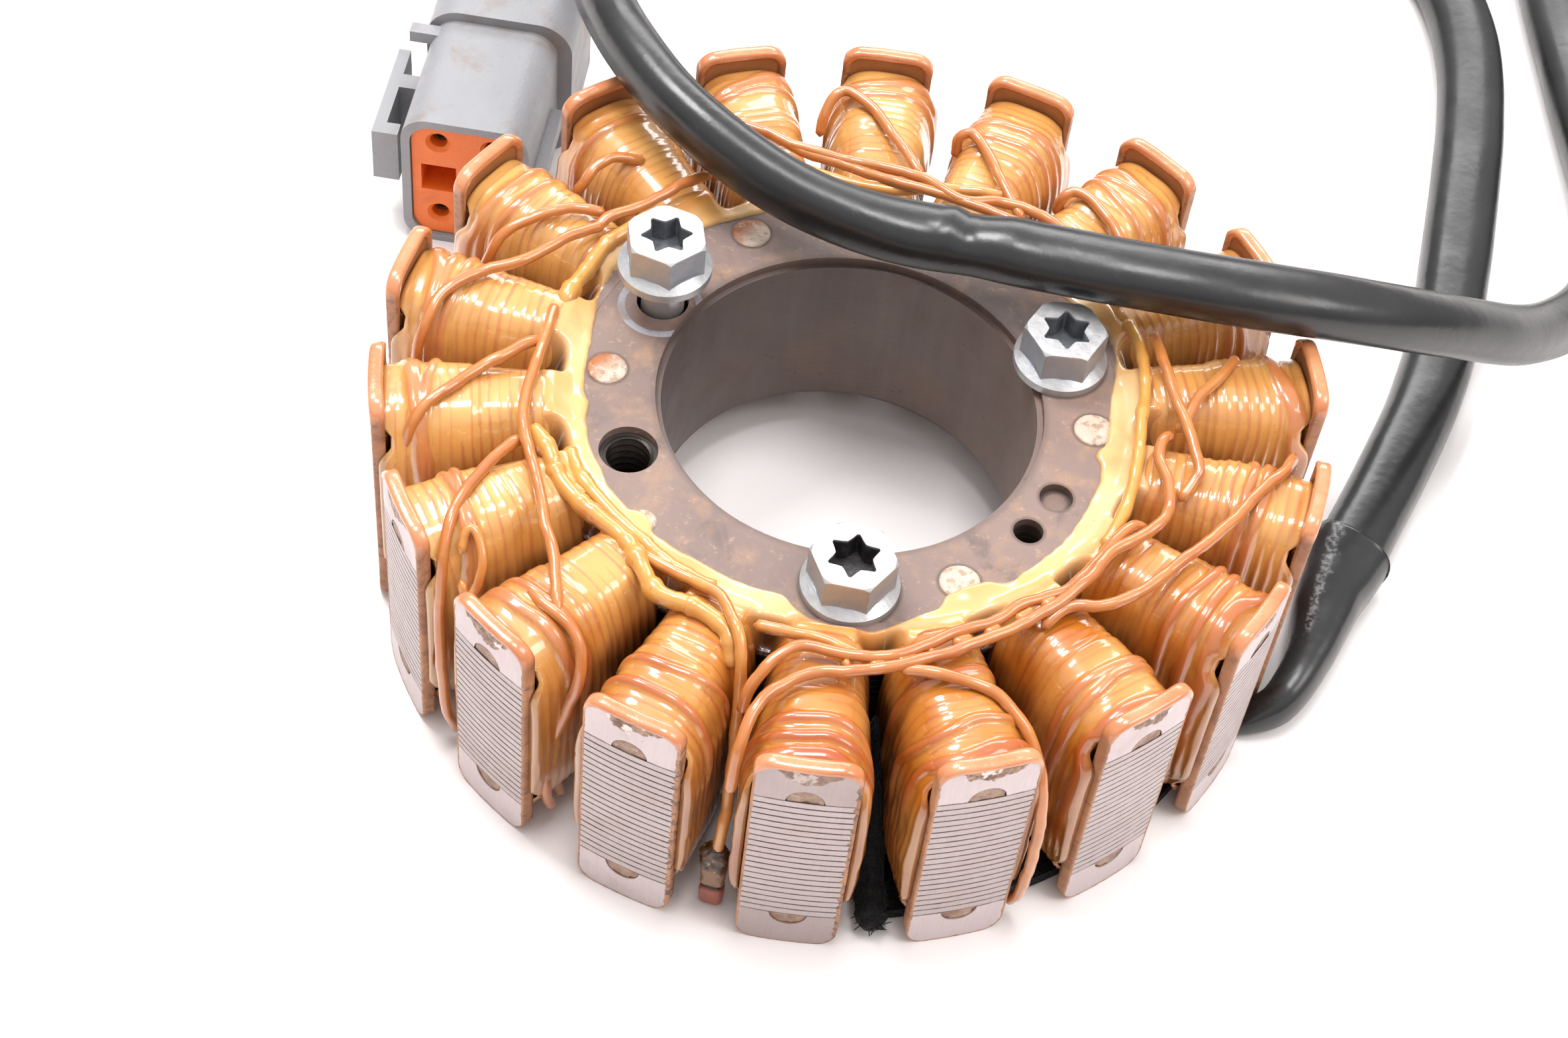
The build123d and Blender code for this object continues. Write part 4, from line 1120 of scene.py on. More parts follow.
        # the wire stands up from the varnish, which climbs its sides
        prof = np.sqrt(np.clip(1 - (d / w) ** 2, 0, 1))
        soft = np.exp(-(d / (w * 1.15)) ** 2)
        hr = top_lift * layer + 0.12 + H * fade * (0.6 * prof + 0.4 * soft)
        use = (hr > h) & (fade > 0.12)
        h = np.where(use, hr, h)
        on = use * fade
        crest = np.where(use, np.clip(prof, 0, 1) * fade + crest * (1 - fade), crest)
        rope = np.maximum(rope, on * prof)
        # painted shade along both sides of the rope wire
        shade = np.exp(-((d - w - 0.25) / 0.18) ** 2) * fade * (0.25 + 0.75 * np.clip(noise1(Q, 5000 + 10 * k + i, 7.0), 0, 1))
        gap = np.maximum(gap * (1 - on), 0.38 * shade * (1 - prof))
    crest = crest * (1 - 0.6 * step(Rs, 61.4, 62.2) * step(np.abs(X), 6.6, 7.2))
    # broad runs of varnish
    h += 0.10 * np.clip(noise2(Q, Rr, 3000 + k, 9.0), 0, 1)
    # rounded ends: the hub end is a full round, the outer end meets the tip
    dr0, dr1 = Rr - CR0, CR1 - Rr
    for d, size in ((dr0, 1.6), (dr1, 0.5)):
        t = np.clip(1 - d / size, 0, 1)
        h -= size * (1 - np.sqrt(np.clip(1 - t * t, 0, 1)))
    # the foot of the coil stays above the floor and inside the sheets' height
    px, pz = X + NX * h, Zz + NZ * h
    # end walls, down to the neck
    def wall(j, r):
        rows = []
        for f in (0.25, 0.6, 1.0):
            qx = np.sign(X[:, j]) * np.minimum(np.abs(X[:, j]), 3.62)
            qz = np.sign(Zz[:, j]) * np.minimum(np.abs(Zz[:, j]), 14.42)
            rows.append((px[:, j] * (1 - f) + qx * f, pz[:, j] * (1 - f) + qz * f, r))
        return rows
    inner = wall(0, CR0 + 0.02)[::-1]
    lip_x = np.sign(px[:, -1]) * np.minimum(np.abs(px[:, -1]), np.where(np.abs(X[:, -1]) > 6.6, 6.78, 99.0))
    neck_x = np.sign(X[:, -1]) * np.minimum(np.abs(X[:, -1]), 3.62)
    neck_z = np.sign(Zz[:, -1]) * np.minimum(np.abs(Zz[:, -1]), 14.42)
    outer = [(lip_x, pz[:, -1], Rs[:, -1]), (lip_x, pz[:, -1], np.full(n, CR1)), (neck_x, neck_z, np.full(n, CR1))]
    PX = np.column_stack([w[0] for w in inner] + [px] + [w[0] for w in outer])
    PZ = np.column_stack([w[1] for w in inner] + [pz] + [w[1] for w in outer])
    RR = np.column_stack([np.full(n, w[2]) for w in inner] + [Rs] + [w[2] for w in outer])
    e, t = pole_dir(k)
    V = np.zeros((n, PX.shape[1], 3))
    V[..., 0] = e[0] * RR + t[0] * PX
    V[..., 1] = e[1] * RR + t[1] * PX
    V[..., 2] = 20 + PZ
    V[..., 2] = np.maximum(V[..., 2], 0.5)

    def pad(A, val=None):
        first, last = A[:, :1], A[:, -1:]
        return np.column_stack([first] * 3 + [A] + [last] * 3)
    tone = np.clip(TONES[k] + 0.25 * noise2(Q, Rr, 4000 + k, 16.0), 0, 1)
    # painted shade between two poles, darkest near the hub
    painted_gap_shade = step(np.abs(Q), 8.5, 15.0) * (0.25 + 0.75 * (1 - step(Rr, 46.0, 57.0)))
    shade = np.clip(painted_gap_shade * (0.75 + 0.25 * noise2(Q, Rr, 4500 + k, 8.0)), 0, 0.9)
    # painted shade is weaker on the left coils, painted paler for the glare on that side
    if k in (11, 12, 13, 14):
        shade = shade * 0.6
    # painted shade: the lips of winding beside each tip are painted darker brown
    shade = np.maximum(shade, 0.42 * step(Rs, 61.3, 62.4) * step(np.abs(X), 6.3, 7.0))
    faces = grid_faces(n, PX.shape[1], wrap_n=True)
    ob = make(f"wound_coil_{k + 1:02d}", V.reshape(-1, 3), faces, COIL_MAT,
              {"crest": pad(crest), "rope": pad(rope), "gap": np.clip(pad(gap), 0, 1), "tone": pad(tone), "shade": pad(shade)})
    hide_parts(f"coil_{k + 1:02d}")
    return ob


for k in range(N):
    coil(k)


# ================================================================= varnish on the hub
# inner edge of the varnish: angle, radius
EDGE = [(-178.5, 35.9), (-173, 35.8), (-169, 35.1), (-163.6, 35.8), (-156, 36.1), (-152.4, 35.9), (-145, 36.2), (-138.4, 35.8),
        (-136.6, 34.7), (-134.6, 34.3), (-132.6, 34.7), (-131.2, 35.6), (-128.4, 35.4), (-124.7, 35.4), (-120, 35.0), (-115, 34.9),
        (-107, 35.0), (-102.8, 34.7), (-99.3, 34.6), (-96.9, 36.0), (-92, 38.0), (-88.2, 38.8), (-83.3, 38.9), (-78.4, 38.4),
        (-74, 37.2), (-71, 36.5), (-66.5, 36.0), (-64.6, 34.4), (-61, 34.1), (-57, 34.0), (-54.8, 34.2), (-52.4, 35.5), (-49.5, 35.9),
        (-45.4, 35.5), (-35.3, 35.6), (-29.8, 35.4), (-23.3, 35.2), (-15.1, 35.2), (-10.3, 34.8), (-8.4, 33.8), (-6.2, 33.7),
        (-4.4, 34.7), (2.4, 34.9), (6.4, 35.3), (10.2, 35.8), (15.8, 37.0), (21, 38.3), (27.6, 38.4), (36, 37.0), (45, 36.4),
        (60, 36.3), (75, 36.0), (90, 36.0), (105, 36.0), (120, 36.2), (135, 36.8), (143, 38.4), (154, 38.6), (160, 38.4), (166, 36.9),
        (173.7, 36.0)]


def hub_varnish():
    th = np.linspace(-180, 180, 900, endpoint=False)
    A = np.array([(EDGE[-1][0] - 360, EDGE[-1][1])] + EDGE + [(EDGE[0][0] + 360, EDGE[0][1])])
    rin = np.interp(th, A[:, 0], A[:, 1])
    rin = np.convolve(np.r_[rin[-4:], rin, rin[:4]], np.ones(5) / 5, "same")[4:-4]
    rad = np.radians(th)
    rim = (rin + 0.12 * noise2(60 * np.cos(rad), 60 * np.sin(rad), 21, 7.0, 3))[:, None]      # where the varnish ends
    rin = np.minimum(rim[:, 0], 37.2)
    m = 30
    s = np.linspace(0, 1, m) ** 1.25
    pole = np.abs(((th + 90 + 10) % 20) - 10)                 # degrees from the nearest pole
    over = 1 - step(pole, 5.0, 9.2)
    rout = 41.3 + 1.9 * over
    R = rin[:, None] + (rout - rin)[:, None] * s[None, :]
    T = np.tile(rad[:, None], (1, m))
    X, Y = R * np.cos(T), R * np.sin(T)
    thick = 0.55 + 0.22 * noise2(X, Y, 22, 12.0, 1) + 0.06 * noise2(X, Y, 23, 4.0, 1)
    for at, ang, size, _ in RIVETS:
        a = math.radians(ang)
        thick = thick + 0.32 * np.exp(-((np.hypot(X - at * math.cos(a), Y - at * math.sin(a)) / (size + 0.5)) ** 4))
    thick = np.clip(thick, 0.2, 1.4)
    rise = np.sqrt(1 - (1 - np.clip((R - rim) / 0.9, 0, 1)) ** 2)
    Z = 34.35 + thick * rise
    Z = Z + over[:, None] * (1.7 * step(R, 37.0, 40.6) - 1.6 * step(R, 41.2, 43.2)) - (1 - over[:, None]) * 4.5 * step(R - np.maximum(rim - 0.2, 38.1), 0.0, 2.8)
    top = np.stack([X, Y, Z], -1)
    under = np.stack([X, Y, np.where(R < 37.4, 34.0, Z - 1.2)], -1)[:, ::-1]
    G = np.concatenate([top, under], 1)
    edge = np.clip(1 - np.abs(R - rim) / 0.35, 0, 1) * 0.7
    plate = 1 - step(R - rim, -0.12, 0.0)
    front = np.exp(-((th + 95) / 42.0) ** 2)[:, None]
    warm = np.clip(step(R, 38.2, 40.8) * 0.7 + 0.08 + 0.35 * front + 0.3 * noise2(X, Y, 24, 14.0, 1), 0, 1)
    # painted shade where the varnish falls away between the poles
    painted_gap_shade = (1 - over[:, None]) * step(R - np.maximum(rim + 0.4, 38.3), 0.0, 1.4)

    def both(A):
        return np.concatenate([A, A[:, ::-1]], 1)
    ob = make("hub_varnish", G.reshape(-1, 3), grid_faces(len(th), 2 * m, wrap_n=True, wrap_m=True), VARNISH_MAT,
              {"edge": both(edge), "warm": both(warm), "painted_gap_shade": both(painted_gap_shade), "plate": both(plate)})
    return ob


hub_varnish()


# ================================================================= crossover wires
def crossovers():
    a, b, c = Bundle(), Bundle(), Bundle()
    # front to right, two phases side by side
    first = ([(-9.0, -51.6, 32.5), (-8.6, -50.8, 35.8), (-7.1, -49.0, 38.2), (-5.5, -47.1, 39), (-2.7, -45.3, 39.3), (1.9, -45.6, 39.3), (6.4, -45.6, 39.3),
            (10.3, -44.2, 39.3), (15.2, -40.6, 39), (20.6, -37.6, 39), (23.7, -34.8, 39), (26.9, -32.8, 39),
            (30.1, -30.8, 39), (32.4, -27.8, 39), (34.4, -24.4, 39), (36.2, -21.4, 39), (38.1, -19.2, 38.6), (39.9, -18.7, 37.6)])
    second = ([(-9.3, -61.0, 29.0), (-9.0, -60.4, 33.5), (-8.6, -58.9, 36.8), (-7.4, -55.1, 38.8), (-5.1, -51.8, 39), (-0.8, -48.9, 39.2), (3.6, -48.1, 39.2), (9.5, -46.2, 39.2),
            (13.9, -44.0, 39), (18.3, -41.5, 39), (23.9, -37.8, 39), (26.5, -35.7, 39.4), (29.6, -33.0, 39.8),
            (32.3, -29.6, 40), (34.7, -25.3, 39.6), (37.2, -22.7, 39.4), (39.6, -20.7, 39.4), (41.7, -18.2, 39.4),
            (42.5, -15.2, 39.2), (42.3, -11.3, 39), (41.2, -7.4, 38.8), (41.6, -4.0, 38.8), (42.9, -2.5, 38.0)])
    a.wire(first, seed=1, tone=0.1)
    a.wire(second, seed=2, tone=0.1)
    # varnish bridges between the two
    one, two = curve_through(first, 0.5)[0], curve_through(second, 0.5)[0]
    mid = []
    for q in one:
        near = two[int(np.argmin(np.linalg.norm(two - q, axis=1)))]
        if 2.0 < q[0] < 37.0 and np.linalg.norm(near - q) < 3.4:
            mid.append((q + near) / 2 - (0, 0, 0.35))
    rng = np.random.default_rng(77)
    i = 0
    while i < len(mid) - 8:
        j = i + int(rng.integers(3, 8))
        a.wire(mid[i:j], r=rng.uniform(0.6, 0.75), tone=0.35, varn=0.4, seed=900 + i, sides=8, gap=0.4)
        i = j + int(rng.integers(1, 4))
    a.wire([(-9.0, -41.8, 37.4), (-4.4, -42.4, 38), (0.3, -43.2, 38), (4.0, -44.5, 38), (8.0, -45.6, 37.6)], seed=3, tone=0.4, varn=0.6)
    a.wire([(9.5, -46.4, 38.6), (14.1, -46.6, 39), (18.7, -47.0, 38.5), (21.9, -48.0, 38), (25.3, -50.5, 36.2), (27.2, -52.5, 34),
            (28.6, -54.9, 31), (29.3, -56.6, 27), (29.6, -57.2, 22), (29.7, -57.2, 15), (29.4, -56.8, 8), (28.6, -55.6, 3)], seed=4, tone=0.2)
    a.wire([(26.7, -36.9, 38.0), (30.2, -33.8, 39), (34.6, -33.0, 39.2), (38.6, -30.7, 39.4), (43.0, -25.9, 39.4),
            (46.3, -22.2, 39.4), (50.5, -17.1, 39.2), (54.4, -11.0, 39), (57.9, -6.4, 38.4), (59.6, -2.2, 36), (59.9, -0.6, 28), (59.6, -0.2, 14), (58.6, 0.0, 4)],
           seed=5, tone=0.1)
    a.wire([(40.1, 15.2, 38.6), (41.3, 9.9, 39.4), (42.8, 3.9, 39.6), (44.3, -1.0, 39.8), (46.3, -8.1, 39.4), (45.7, -10.4, 38.6),
            (44.1, -13.2, 37.4)], seed=6, tone=0.2)
    a.wire([(36.6, 18.5, 37), (38.5, 13.3, 37.4), (39.3, 7.1, 37.6), (38.9, 0, 37.6), (38.5, -7.2, 37.4), (37.6, -13.3, 37),
            (35.9, -18.7, 37), (34.5, -21.4, 36.2)], seed=7, tone=0.9, varn=0.9, r=0.85, sag=0.3)
    a.wire([(51.7, 12.9, 38.2), (48.6, 7.6, 38.8), (46.3, 4.2, 38.8), (44.6, 0.3, 38.4), (43.6, -1.2, 37.4)], seed=8, tone=0.2)
    # left side
    b.wire([(-41.3, 7.7, 37.2), (-41.7, 0.6, 38), (-42.2, -6.0, 38.6), (-42.4, -12.9, 38.8), (-41.0, -18.3, 38.8),
            (-38.7, -24.3, 38.8), (-36.8, -30.6, 38.8), (-34.8, -36.0, 38.8), (-33.7, -41.2, 38.4), (-33.1, -44.2, 37),
            (-33.2, -46.2, 32), (-33.1, -47.7, 25), (-33.1, -48.3, 15), (-32.7, -48.3, 8), (-31.8, -47.2, 2.4)], seed=9, tone=0.15)
    b.wire([(-42.4, 0.6, 37.6), (-43.7, -0.9, 38.6), (-45.8, -3.4, 38.8), (-49.1, -6.3, 38.6), (-52.2, -10.2, 38.6), (-54.8, -13.0, 38.2),
            (-56.4, -15.4, 36.6), (-57.4, -16.5, 32), (-58.7, -16.3, 25), (-59.0, -16.3, 16), (-58.8, -16.2, 8), (-57.6, -15.9, 2.4)], seed=10, tone=0.15)
    b.wire([(-42.0, -16.6, 37.2), (-43.0, -18.1, 38), (-45.6, -22.6, 38.4), (-47.9, -28.4, 38.4), (-48.8, -33.0, 37.5), (-48.9, -36.5, 34),
            (-49.1, -38.2, 26), (-48.6, -40.1, 18), (-48.0, -40.6, 9), (-46.9, -39.6, 2.6)], seed=11, tone=0.1)
    b.wire([(-46.8, -35.1, 35.4), (-46.5, -33.2, 37.5), (-45.4, -32.7, 37.8), (-43.9, -35.1, 36.5), (-44.0, -37.3, 34),
            (-45.2, -38.5, 31), (-46.5, -36.9, 32.6)], seed=12, tone=0.4, r=0.66)
    b.wire([(-37.2, -40.6, 37.2), (-35.0, -42.9, 38), (-31.8, -45.2, 37.8), (-29.7, -47.5, 36), (-29.5, -49.6, 32), (-31.0, -49.8, 25),
            (-32.8, -50.3, 18), (-33.3, -50.9, 9), (-32.6, -49.8, 2.8)], seed=13, tone=0.1)
    b.wire([(-24.6, -31.6, 36.2), (-22.2, -33.5, 37), (-17.0, -36.4, 37.8), (-13.6, -38.8, 38.8), (-11.8, -42.0, 39.2), (-10.6, -44.6, 39.2),
            (-9.8, -47.2, 36.8), (-9.6, -49.1, 32.5), (-9.5, -51.1, 28.2), (-9.4, -53.2, 25.3), (-9.4, -55.2, 22.4), (-9.4, -57.0, 19.1),
            (-9.6, -58.4, 16.5), (-9.9, -59.2, 12.7), (-10.0, -59.3, 9.5)],
           seed=14, tone=0.4, varn=0.6, r=0.8)
    b.wire([(-41.2, -14.0, 37.0), (-38.0, -18.2, 37.2), (-35.6, -23.0, 37), (-29.9, -28.0, 37), (-25.7, -31.5, 37),
            (-21.6, -38.5, 37.6), (-16.5, -40.5, 38), (-12.2, -43.3, 37.6), (-10.8, -46.8, 34.6)], seed=15, tone=0.85, varn=0.9, r=1.15, sag=0.5)
    b.wire([(-36.0, -15.6, 35.2), (-33.4, -20.8, 36), (-28.9, -25.9, 36), (-25.2, -29.0, 36), (-21.5, -32.6, 36.6), (-17.5, -35.3, 37),
            (-14.0, -36.6, 36.8)], seed=16, tone=0.9, varn=0.9, r=1.0, sag=0.5)
    b.wire([(-36.8, 22.6, 38.4), (-40.9, 18.7, 39.4), (-46.5, 13.1, 39.4), (-51.0, 10.8, 39.2), (-54.4, 8.1, 39), (-56.5, 5.5, 38.6),
            (-57.6, 2.5, 37.4), (-58.7, 0.6, 34), (-59.2, 0.8, 28), (-59.3, 1.0, 16), (-58.6, 0.6, 5)], seed=17, tone=0.15)
    b.wire([(-36.8, 24.9, 38.4), (-41.7, 24.5, 39), (-46.3, 22.0, 38.8), (-49.6, 19.7, 38.2), (-51.3, 18.3, 36), (-53.0, 18.6, 30), (-54.6, 19.4, 20), (-54.4, 19.6, 8)],
           seed=18, tone=0.15)
    b.wire([(-32.8, 37.2, 37.4), (-36.7, 36.0, 38.6), (-39.1, 34.1, 38.4), (-40.8, 31.9, 37), (-42.4, 33.4, 32), (-43.4, 35.0, 22), (-43.4, 35.4, 10)], seed=19, tone=0.15)
    b.wire([(-23.1, 35.0, 38.6), (-26.2, 32.5, 39), (-29.1, 29.6, 39), (-32.7, 26.1, 39), (-36.3, 23.6, 39), (-38.0, 21.4, 38.2)],
           seed=20, tone=0.1)
    b.wire([(-31.4, 26.4, 36.8), (-32.4, 24.4, 37.4), (-36.1, 19.9, 37.2), (-37.8, 15.7, 36.8), (-39.7, 11.2, 36.4), (-40.5, 8.4, 36.0)],
           seed=21, tone=0.95, varn=0.95, r=1.1, sag=0.6)
    # back
    c.wire([(-25.4, 46.0, 37.6), (-21.3, 45.5, 39), (-15.8, 44.1, 39), (-10.6, 41.2, 39.2), (-4.2, 39.2, 39.4), (2.1, 37.5, 39.4), (8.3, 36.3, 39.4),
            (14.6, 34.7, 39.2), (20.8, 32.6, 39), (24.5, 31.5, 39), (30.0, 27.4, 38.8), (35.4, 21.5, 38.4)], seed=22, tone=0.1)
    c.wire([(-27.0, 45.0, 37.4), (-23.4, 45.8, 38.6), (-17.1, 44.7, 39), (-11.9, 42.0, 39.4), (-6.0, 40.3, 39.8), (-0.2, 39.4, 40), (6.5, 38.2, 40),
            (12.5, 35.3, 39.4), (18.0, 36.4, 39.0), (24.0, 34.8, 38.8), (29.6, 30.6, 38.4)], seed=23, tone=0.1)
    c.wire([(-8.8, 51.1, 33), (-8.4, 52.9, 36), (-7.5, 54.6, 38), (-5.5, 55.6, 38.6), (-1.9, 52.9, 38.8), (1.4, 48.1, 38.8),
            (5.1, 41.9, 39), (6.5, 39.8, 38.6)], seed=24, tone=0.1)
    c.wire([(11.2, 49.6, 34), (11.4, 50.0, 37.6), (13.4, 49.9, 38.6), (15.7, 45.9, 38.8), (18.5, 39.3, 38.8), (21.2, 34.2, 38.2)],
           seed=25, tone=0.1)
    c.wire([(26.5, 40.5, 34), (26.9, 40.3, 37.6), (28.4, 40.9, 38.4), (30.9, 39.2, 38.8), (33.8, 35.1, 38.8), (35.6, 32.0, 38.0)],
           seed=26, tone=0.1)
    # hidden stretches behind the lead
    c.wire([(-22.6, 40.4, 38.2), (-14.0, 39.6, 38.6), (-6.0, 37.4, 38.4), (3.0, 36.9, 38.2), (11.0, 38.6, 38.2), (20.4, 38.8, 37.8)],
           seed=27, tone=0.6, varn=0.7)
    for bundle, name, node in ((a, "crossover_wires_a", "phase_a_crossover"), (b, "crossover_wires_b", "phase_b_crossover"),
                               (c, "crossover_wires_c", "phase_c_crossover")):
        ob = bundle.done(name, WIRE_MAT, "varnished_wire")
        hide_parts(node)


crossovers()


# ================================================================= rivets
def rivets():
    V, F, A, base = [], [], [], 0
    for i, (at, ang, rad, rust) in enumerate(RIVETS):
        cx, cy = at * math.cos(math.radians(ang)), at * math.sin(math.radians(ang))
        m = 40
        a = np.linspace(0, TAU, m, endpoint=False)
        prof = [(0.0, 34.70), (0.7, 34.70), (1.4, 34.68), (2.0, 34.64), (2.4, 34.58), (2.62, 34.48), (2.7, 34.33), (2.68, 20.0),
                (2.7, 5.67), (2.55, 5.45), (2.0, 5.36), (1.0, 5.34), (0.0, 5.33)]
        rows = []
        for r, z in prof:
            rr = r * rad / 2.7 * (1 + 0.03 * noise1(a * 3, 40 + i, 6.0) * (r > 0.1) * (z > 34.4))
            zz = z + (0.07 * noise2(rr * np.cos(a), rr * np.sin(a), 50 + i, 2.2, 3) if z > 34.4 else 0)
            rows.append(np.stack([cx + rr * np.cos(a), cy + rr * np.sin(a), np.full(m, 0.0) + zz], -1))
        V.append(np.vstack(rows))
        F += grid_faces(len(prof), m, wrap_m=True, base=base)
        # rust gathers on the left and at the rim
        reach = np.array([r for r, _ in prof])[:, None] / 2.7
        A.append((np.clip(0.45 - 0.85 * reach * np.cos(a + math.radians(40))[None, :], 0, 1) * rust).ravel())
        base += len(prof) * m
    ob = make("rivet_bodies", np.vstack(V), F, RIVET_MAT, {"rust": np.concatenate(A)})
    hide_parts("core_rivets")


rivets()


# ---------------------------------------------------------------- threads of the tapped hole
def threads(name, cx, cy, r_root, r_crest, pitch, z_lo, z_hi, inward, mat):
    turns = (z_hi - z_lo) / pitch
    m = 48
    count = int(turns * m)
    prof = [(r_root, 0.0), (r_crest, 0.42), (r_crest, 0.58), (r_root, 1.0)]
    V = []
    for i in range(count + 1):
        a = TAU * i / m
        z = z_lo + pitch * i / m
        for r, f in prof:
            V.append((cx + r * math.cos(a), cy + r * math.sin(a), min(z + f * pitch, z_hi)))
    F = grid_faces(count + 1, len(prof))
    return make(name, V, F, mat, smooth=False)


tx, ty = 31.4 * math.cos(math.radians(-154.3)), 31.4 * math.sin(math.radians(-154.3))
threads("tapped_hole_thread", tx, ty, 3.39, 2.95, 1.25, 7.0, 33.0, True, DARK_STEEL)


# ---------------------------------------------------------------- bolts
for name in ("flange_bolt_1", "flange_bolt_2", "flange_bolt_3"):
    ob = nodes[name]
    for sl in ob.material_slots:
        sl.material = ZINC_MAT
    bev = ob.modifiers.new("soft_edges", "BEVEL")
    bev.width = 0.0003
    bev.segments = 3
    bev.limit_method = "ANGLE"
    bev.angle_limit = math.radians(30)

for sl in nodes["lead_sleeve"].material_slots:
    sl.material = WOVEN_MAT


# ---------------------------------------------------------------- burnt splice between two coils
def splice_mat():
    m = Mat("burnt_splice")
    _, _, z = m.xyz()
    c = m.mix(m.noise(500.0, 4.0, 0.6), srgb(176, 92, 66), srgb(134, 62, 46))
    c = m.mix(m.ramp(z, 0.0040, 0.0042), c, srgb(24, 16, 14))
    c = m.mix(m.ramp(z, 0.0049, 0.0051), c, m.mix(m.noise(420.0, 4.0, 0.6), srgb(160, 118, 78), srgb(104, 70, 44)))
    char = m.mix(m.ramp(m.noise(650.0, 5.0, 0.7), 0.38, 0.62), srgb(30, 20, 15), srgb(92, 60, 30))
    char = m.mix(m.ramp(m.noise(1000.0, 4.0, 0.7), 0.60, 0.68), char, srgb(198, 160, 92))
    ragged = m.math("ADD", z, m.math("MULTIPLY", m.math("SUBTRACT", m.noise(500.0, 4.0, 0.6), 0.5), 0.004))
    c = m.mix(m.ramp(ragged, 0.0086, 0.0094), c, char)
    m.put("Base Color", c)
    m.put("Roughness", 0.4)
    m.put("Coat Weight", 0.5)
    m.put("Coat Roughness", 0.12)
    m.bump(m.noise(900.0, 5.0, 0.7), 0.0006, 0.7)
    return m.mat


def splice():
    a = math.radians(-99.7)
    e, t = np.array((math.cos(a), math.sin(a))), np.array((-math.sin(a), math.cos(a)))
    prof = [(0.5, 0.2, 0.2, 0.02), (0.55, 1.35, 1.05, 0.02), (0.8, 1.58, 1.25, 0.03), (3.5, 1.62, 1.28, 0.04), (3.95, 1.5, 1.2, 0.04),
            (4.2, 1.1, 0.9, 0.03), (4.7, 1.1, 0.9, 0.03), (4.95, 1.45, 1.15, 0.04), (5.3, 1.6, 1.25, 0.05), (8.4, 1.6, 1.25, 0.08),
            (9.2, 1.75, 1.45, 0.22), (10.6, 1.9, 1.55, 0.3), (11.8, 1.7, 1.4, 0.3), (12.7, 1.2, 1.05, 0.2), (13.2, 0.7, 0.6, 0.1),
            (13.35, 0.1, 0.1, 0.0)]
    pr = np.array(prof)
    z = np.r_[pr[:3, 0], np.arange(1.0, 13.3, 0.22), pr[-1:, 0]]
    z = np.unique(np.round(np.r_[z, pr[:, 0]], 3))
    wt, we, lump = (np.interp(z, pr[:, 0], pr[:, k]) for k in (1, 2, 3))
    m = 36
    ang = np.linspace(0, TAU, m, endpoint=False)
    ex = np.where(z < 9, 0.55, 0.85)[:, None]
    cx = np.sign(np.cos(ang)) * np.abs(np.cos(ang)) ** ex
    cy = np.sign(np.sin(ang)) * np.abs(np.sin(ang)) ** ex
    grow = 1 + lump[:, None] * noise2(z[:, None] * 1.0, ang[None, :] * 1.6, 61, 2.4, 3)
    P = (wt[:, None] * cx * grow)[..., None] * t + (we[:, None] * cy * grow)[..., None] * e + 60.0 * e
    V = np.concatenate([P, np.repeat(z[:, None, None], m, 1)], -1)
    n = len(z)
    F = grid_faces(n, m, wrap_m=True) + [list(range(m)), list(range((n - 1) * m, n * m))]
    ob = make("burnt_splice", V.reshape(-1, 3), F, splice_mat())
    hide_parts("winding_splice")


splice()


# ---------------------------------------------------------------- frayed end of the woven sleeve
def frayed_sleeve():
    a = math.radians(-79.8)
    e, t = np.array((math.cos(a), math.sin(a))), np.array((-math.sin(a), math.cos(a)))
    # distance from the axis, height, half width, half height
    st = np.array([(44.5, 20.0, 0.9, 4.0), (48.0, 17.0, 1.1, 5.0), (51.0, 12.5, 1.35, 5.2), (54.0, 7.8, 1.8, 4.4),
                   (57.0, 4.6, 2.0, 3.0), (59.5, 3.4, 2.1, 2.5), (61.8, 3.0, 2.0, 2.2), (62.8, 2.7, 1.3, 1.3), (63.2, 2.5, 0.2, 0.2)])
    q = np.linspace(0, len(st) - 1, 70)
    r, z, w, h = (np.interp(q, np.arange(len(st)), st[:, k]) for k in range(4))
    m = 26
    ang = np.linspace(0, TAU, m, endpoint=False)
    fuzz = 1 + 0.16 * noise2(r[:, None] * 1.2, ang[None, :] * 1.8, 71, 2.6, 3)
    off = (w[:, None] * np.cos(ang) * fuzz)
    V = np.zeros((70, m, 3))
    V[..., :2] = r[:, None, None] * e + off[..., None] * t
    V[..., 2] = np.maximum(z[:, None] + h[:, None] * np.sin(ang) * fuzz, 0.08)
    F = grid_faces(70, m, wrap_m=True) + [list(range(m)), list(range(69 * m, 70 * m))]
    make("frayed_sleeve_end", V.reshape(-1, 3), F, WOVEN_MAT)
    rng = np.random.default_rng(72)
    strands = Bundle()
    for i in range(48):
        k, j = int(rng.integers(36, 69)), int(rng.integers(0, m))
        at = V[k, j]
        away = np.r_[(math.cos(ang[j]) * t), math.sin(ang[j])] + np.r_[e, 0] * rng.uniform(0.0, 1.6) * (k > 56)
        away /= np.linalg.norm(away)
        size = rng.uniform(0.4, 1.1)
        bend = rng.normal(0, 0.45, 3)
        pts = [at - away * 0.2, at + away * 0.45 * size + bend * 0.2, at + away * size + bend * size * 0.9]
        pts = [np.array((p[0], p[1], max(p[2], 0.12))) for p in pts]
        strands.wire(pts, r=0.075, seed=7000 + i, sides=5, gap=0.22)
    v = np.vstack(strands.v)
    v[:, 2] = np.maximum(v[:, 2], 0.04)
    make("frayed_sleeve_strands", v, strands.f, WOVEN_MAT)


frayed_sleeve()


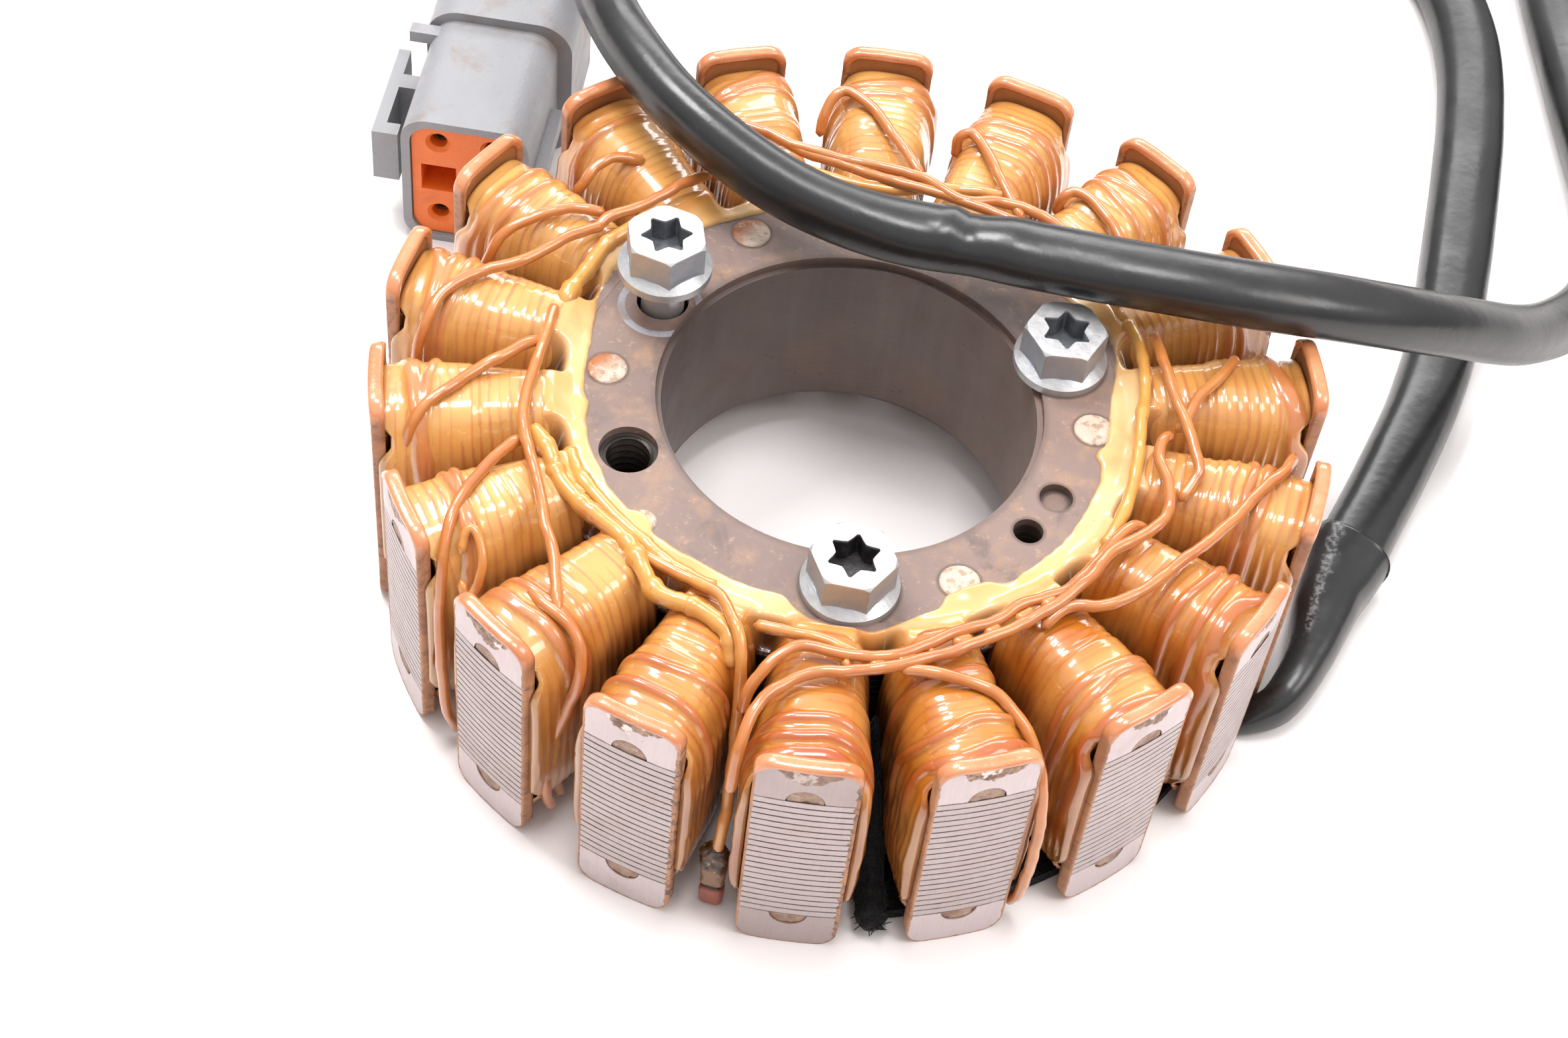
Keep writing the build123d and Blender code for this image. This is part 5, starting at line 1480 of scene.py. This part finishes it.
# ================================================================= floor and light
def stage():
    me = bpy.data.meshes.new("floor")
    bm = bmesh.new()
    bmesh.ops.create_grid(bm, x_segments=2, y_segments=2, size=3.0)
    bm.to_mesh(me)
    bm.free()
    m = Mat("pale_floor")
    c = m.mix(m.ramp(m.noise(3.0, 3.0, 0.5), 0.3, 0.7), srgb(250, 246, 245), srgb(246, 240, 239))
    m.put("Base Color", c)
    m.put("Roughness", 0.55)
    me.materials.append(m.mat)
    floor = bpy.data.objects.new("floor", me)
    floor.location = (0, 0, 0)
    scene.collection.objects.link(floor)
    world = bpy.data.worlds.new("studio")
    scene.world = world
    world.use_nodes = True
    wt = world.node_tree
    wt.nodes["Background"].inputs["Color"].default_value = (1.0, 0.985, 0.98, 1)
    # a bright ceiling over a darker room
    parts = wt.nodes.new("ShaderNodeSeparateXYZ")
    wt.links.new(wt.nodes.new("ShaderNodeTexCoord").outputs["Generated"], parts.inputs[0])
    rise = wt.nodes.new("ShaderNodeMapRange")
    rise.interpolation_type = "SMOOTHSTEP"
    for key, val in (("From Min", -0.05), ("From Max", 0.7), ("To Min", 0.30), ("To Max", 0.95)):
        rise.inputs[key].default_value = val
    wt.links.new(parts.outputs[2], rise.inputs["Value"])
    wt.links.new(rise.outputs["Result"], wt.nodes["Background"].inputs["Strength"])

    def area(name, at, aim, size, power, color=(1, 1, 1)):
        li = bpy.data.lights.new(name, "AREA")
        li.shape = "RECTANGLE"
        li.size, li.size_y = size
        li.energy = power
        li.color = color
        ob = bpy.data.objects.new(name, li)
        ob.location = at
        ob.rotation_mode = "QUATERNION"
        ob.rotation_quaternion = (Vector(aim) - Vector(at)).to_track_quat("-Z", "Y")
        scene.collection.objects.link(ob)

    area("key", (-0.5, 0.5, 1.2), (0, 0, 0), (0.5, 0.35), 12.0)
    area("fill", (0.9, -0.2, 1.1), (0, 0, 0), (0.6, 0.6), 7.0, (1, 0.98, 0.96))
    area("back", (0.1, 1.3, 0.8), (0, 0, 0.02), (1.0, 0.4), 8.0)
    area("top", (0.0, 0.08, 1.4), (0, 0, 0), (0.4, 0.4), 9.0)


stage()
scene.view_settings.view_transform = "Standard"
scene.view_settings.look = "None"
scene.view_settings.exposure = 0.0

bpy.context.view_layer.update()
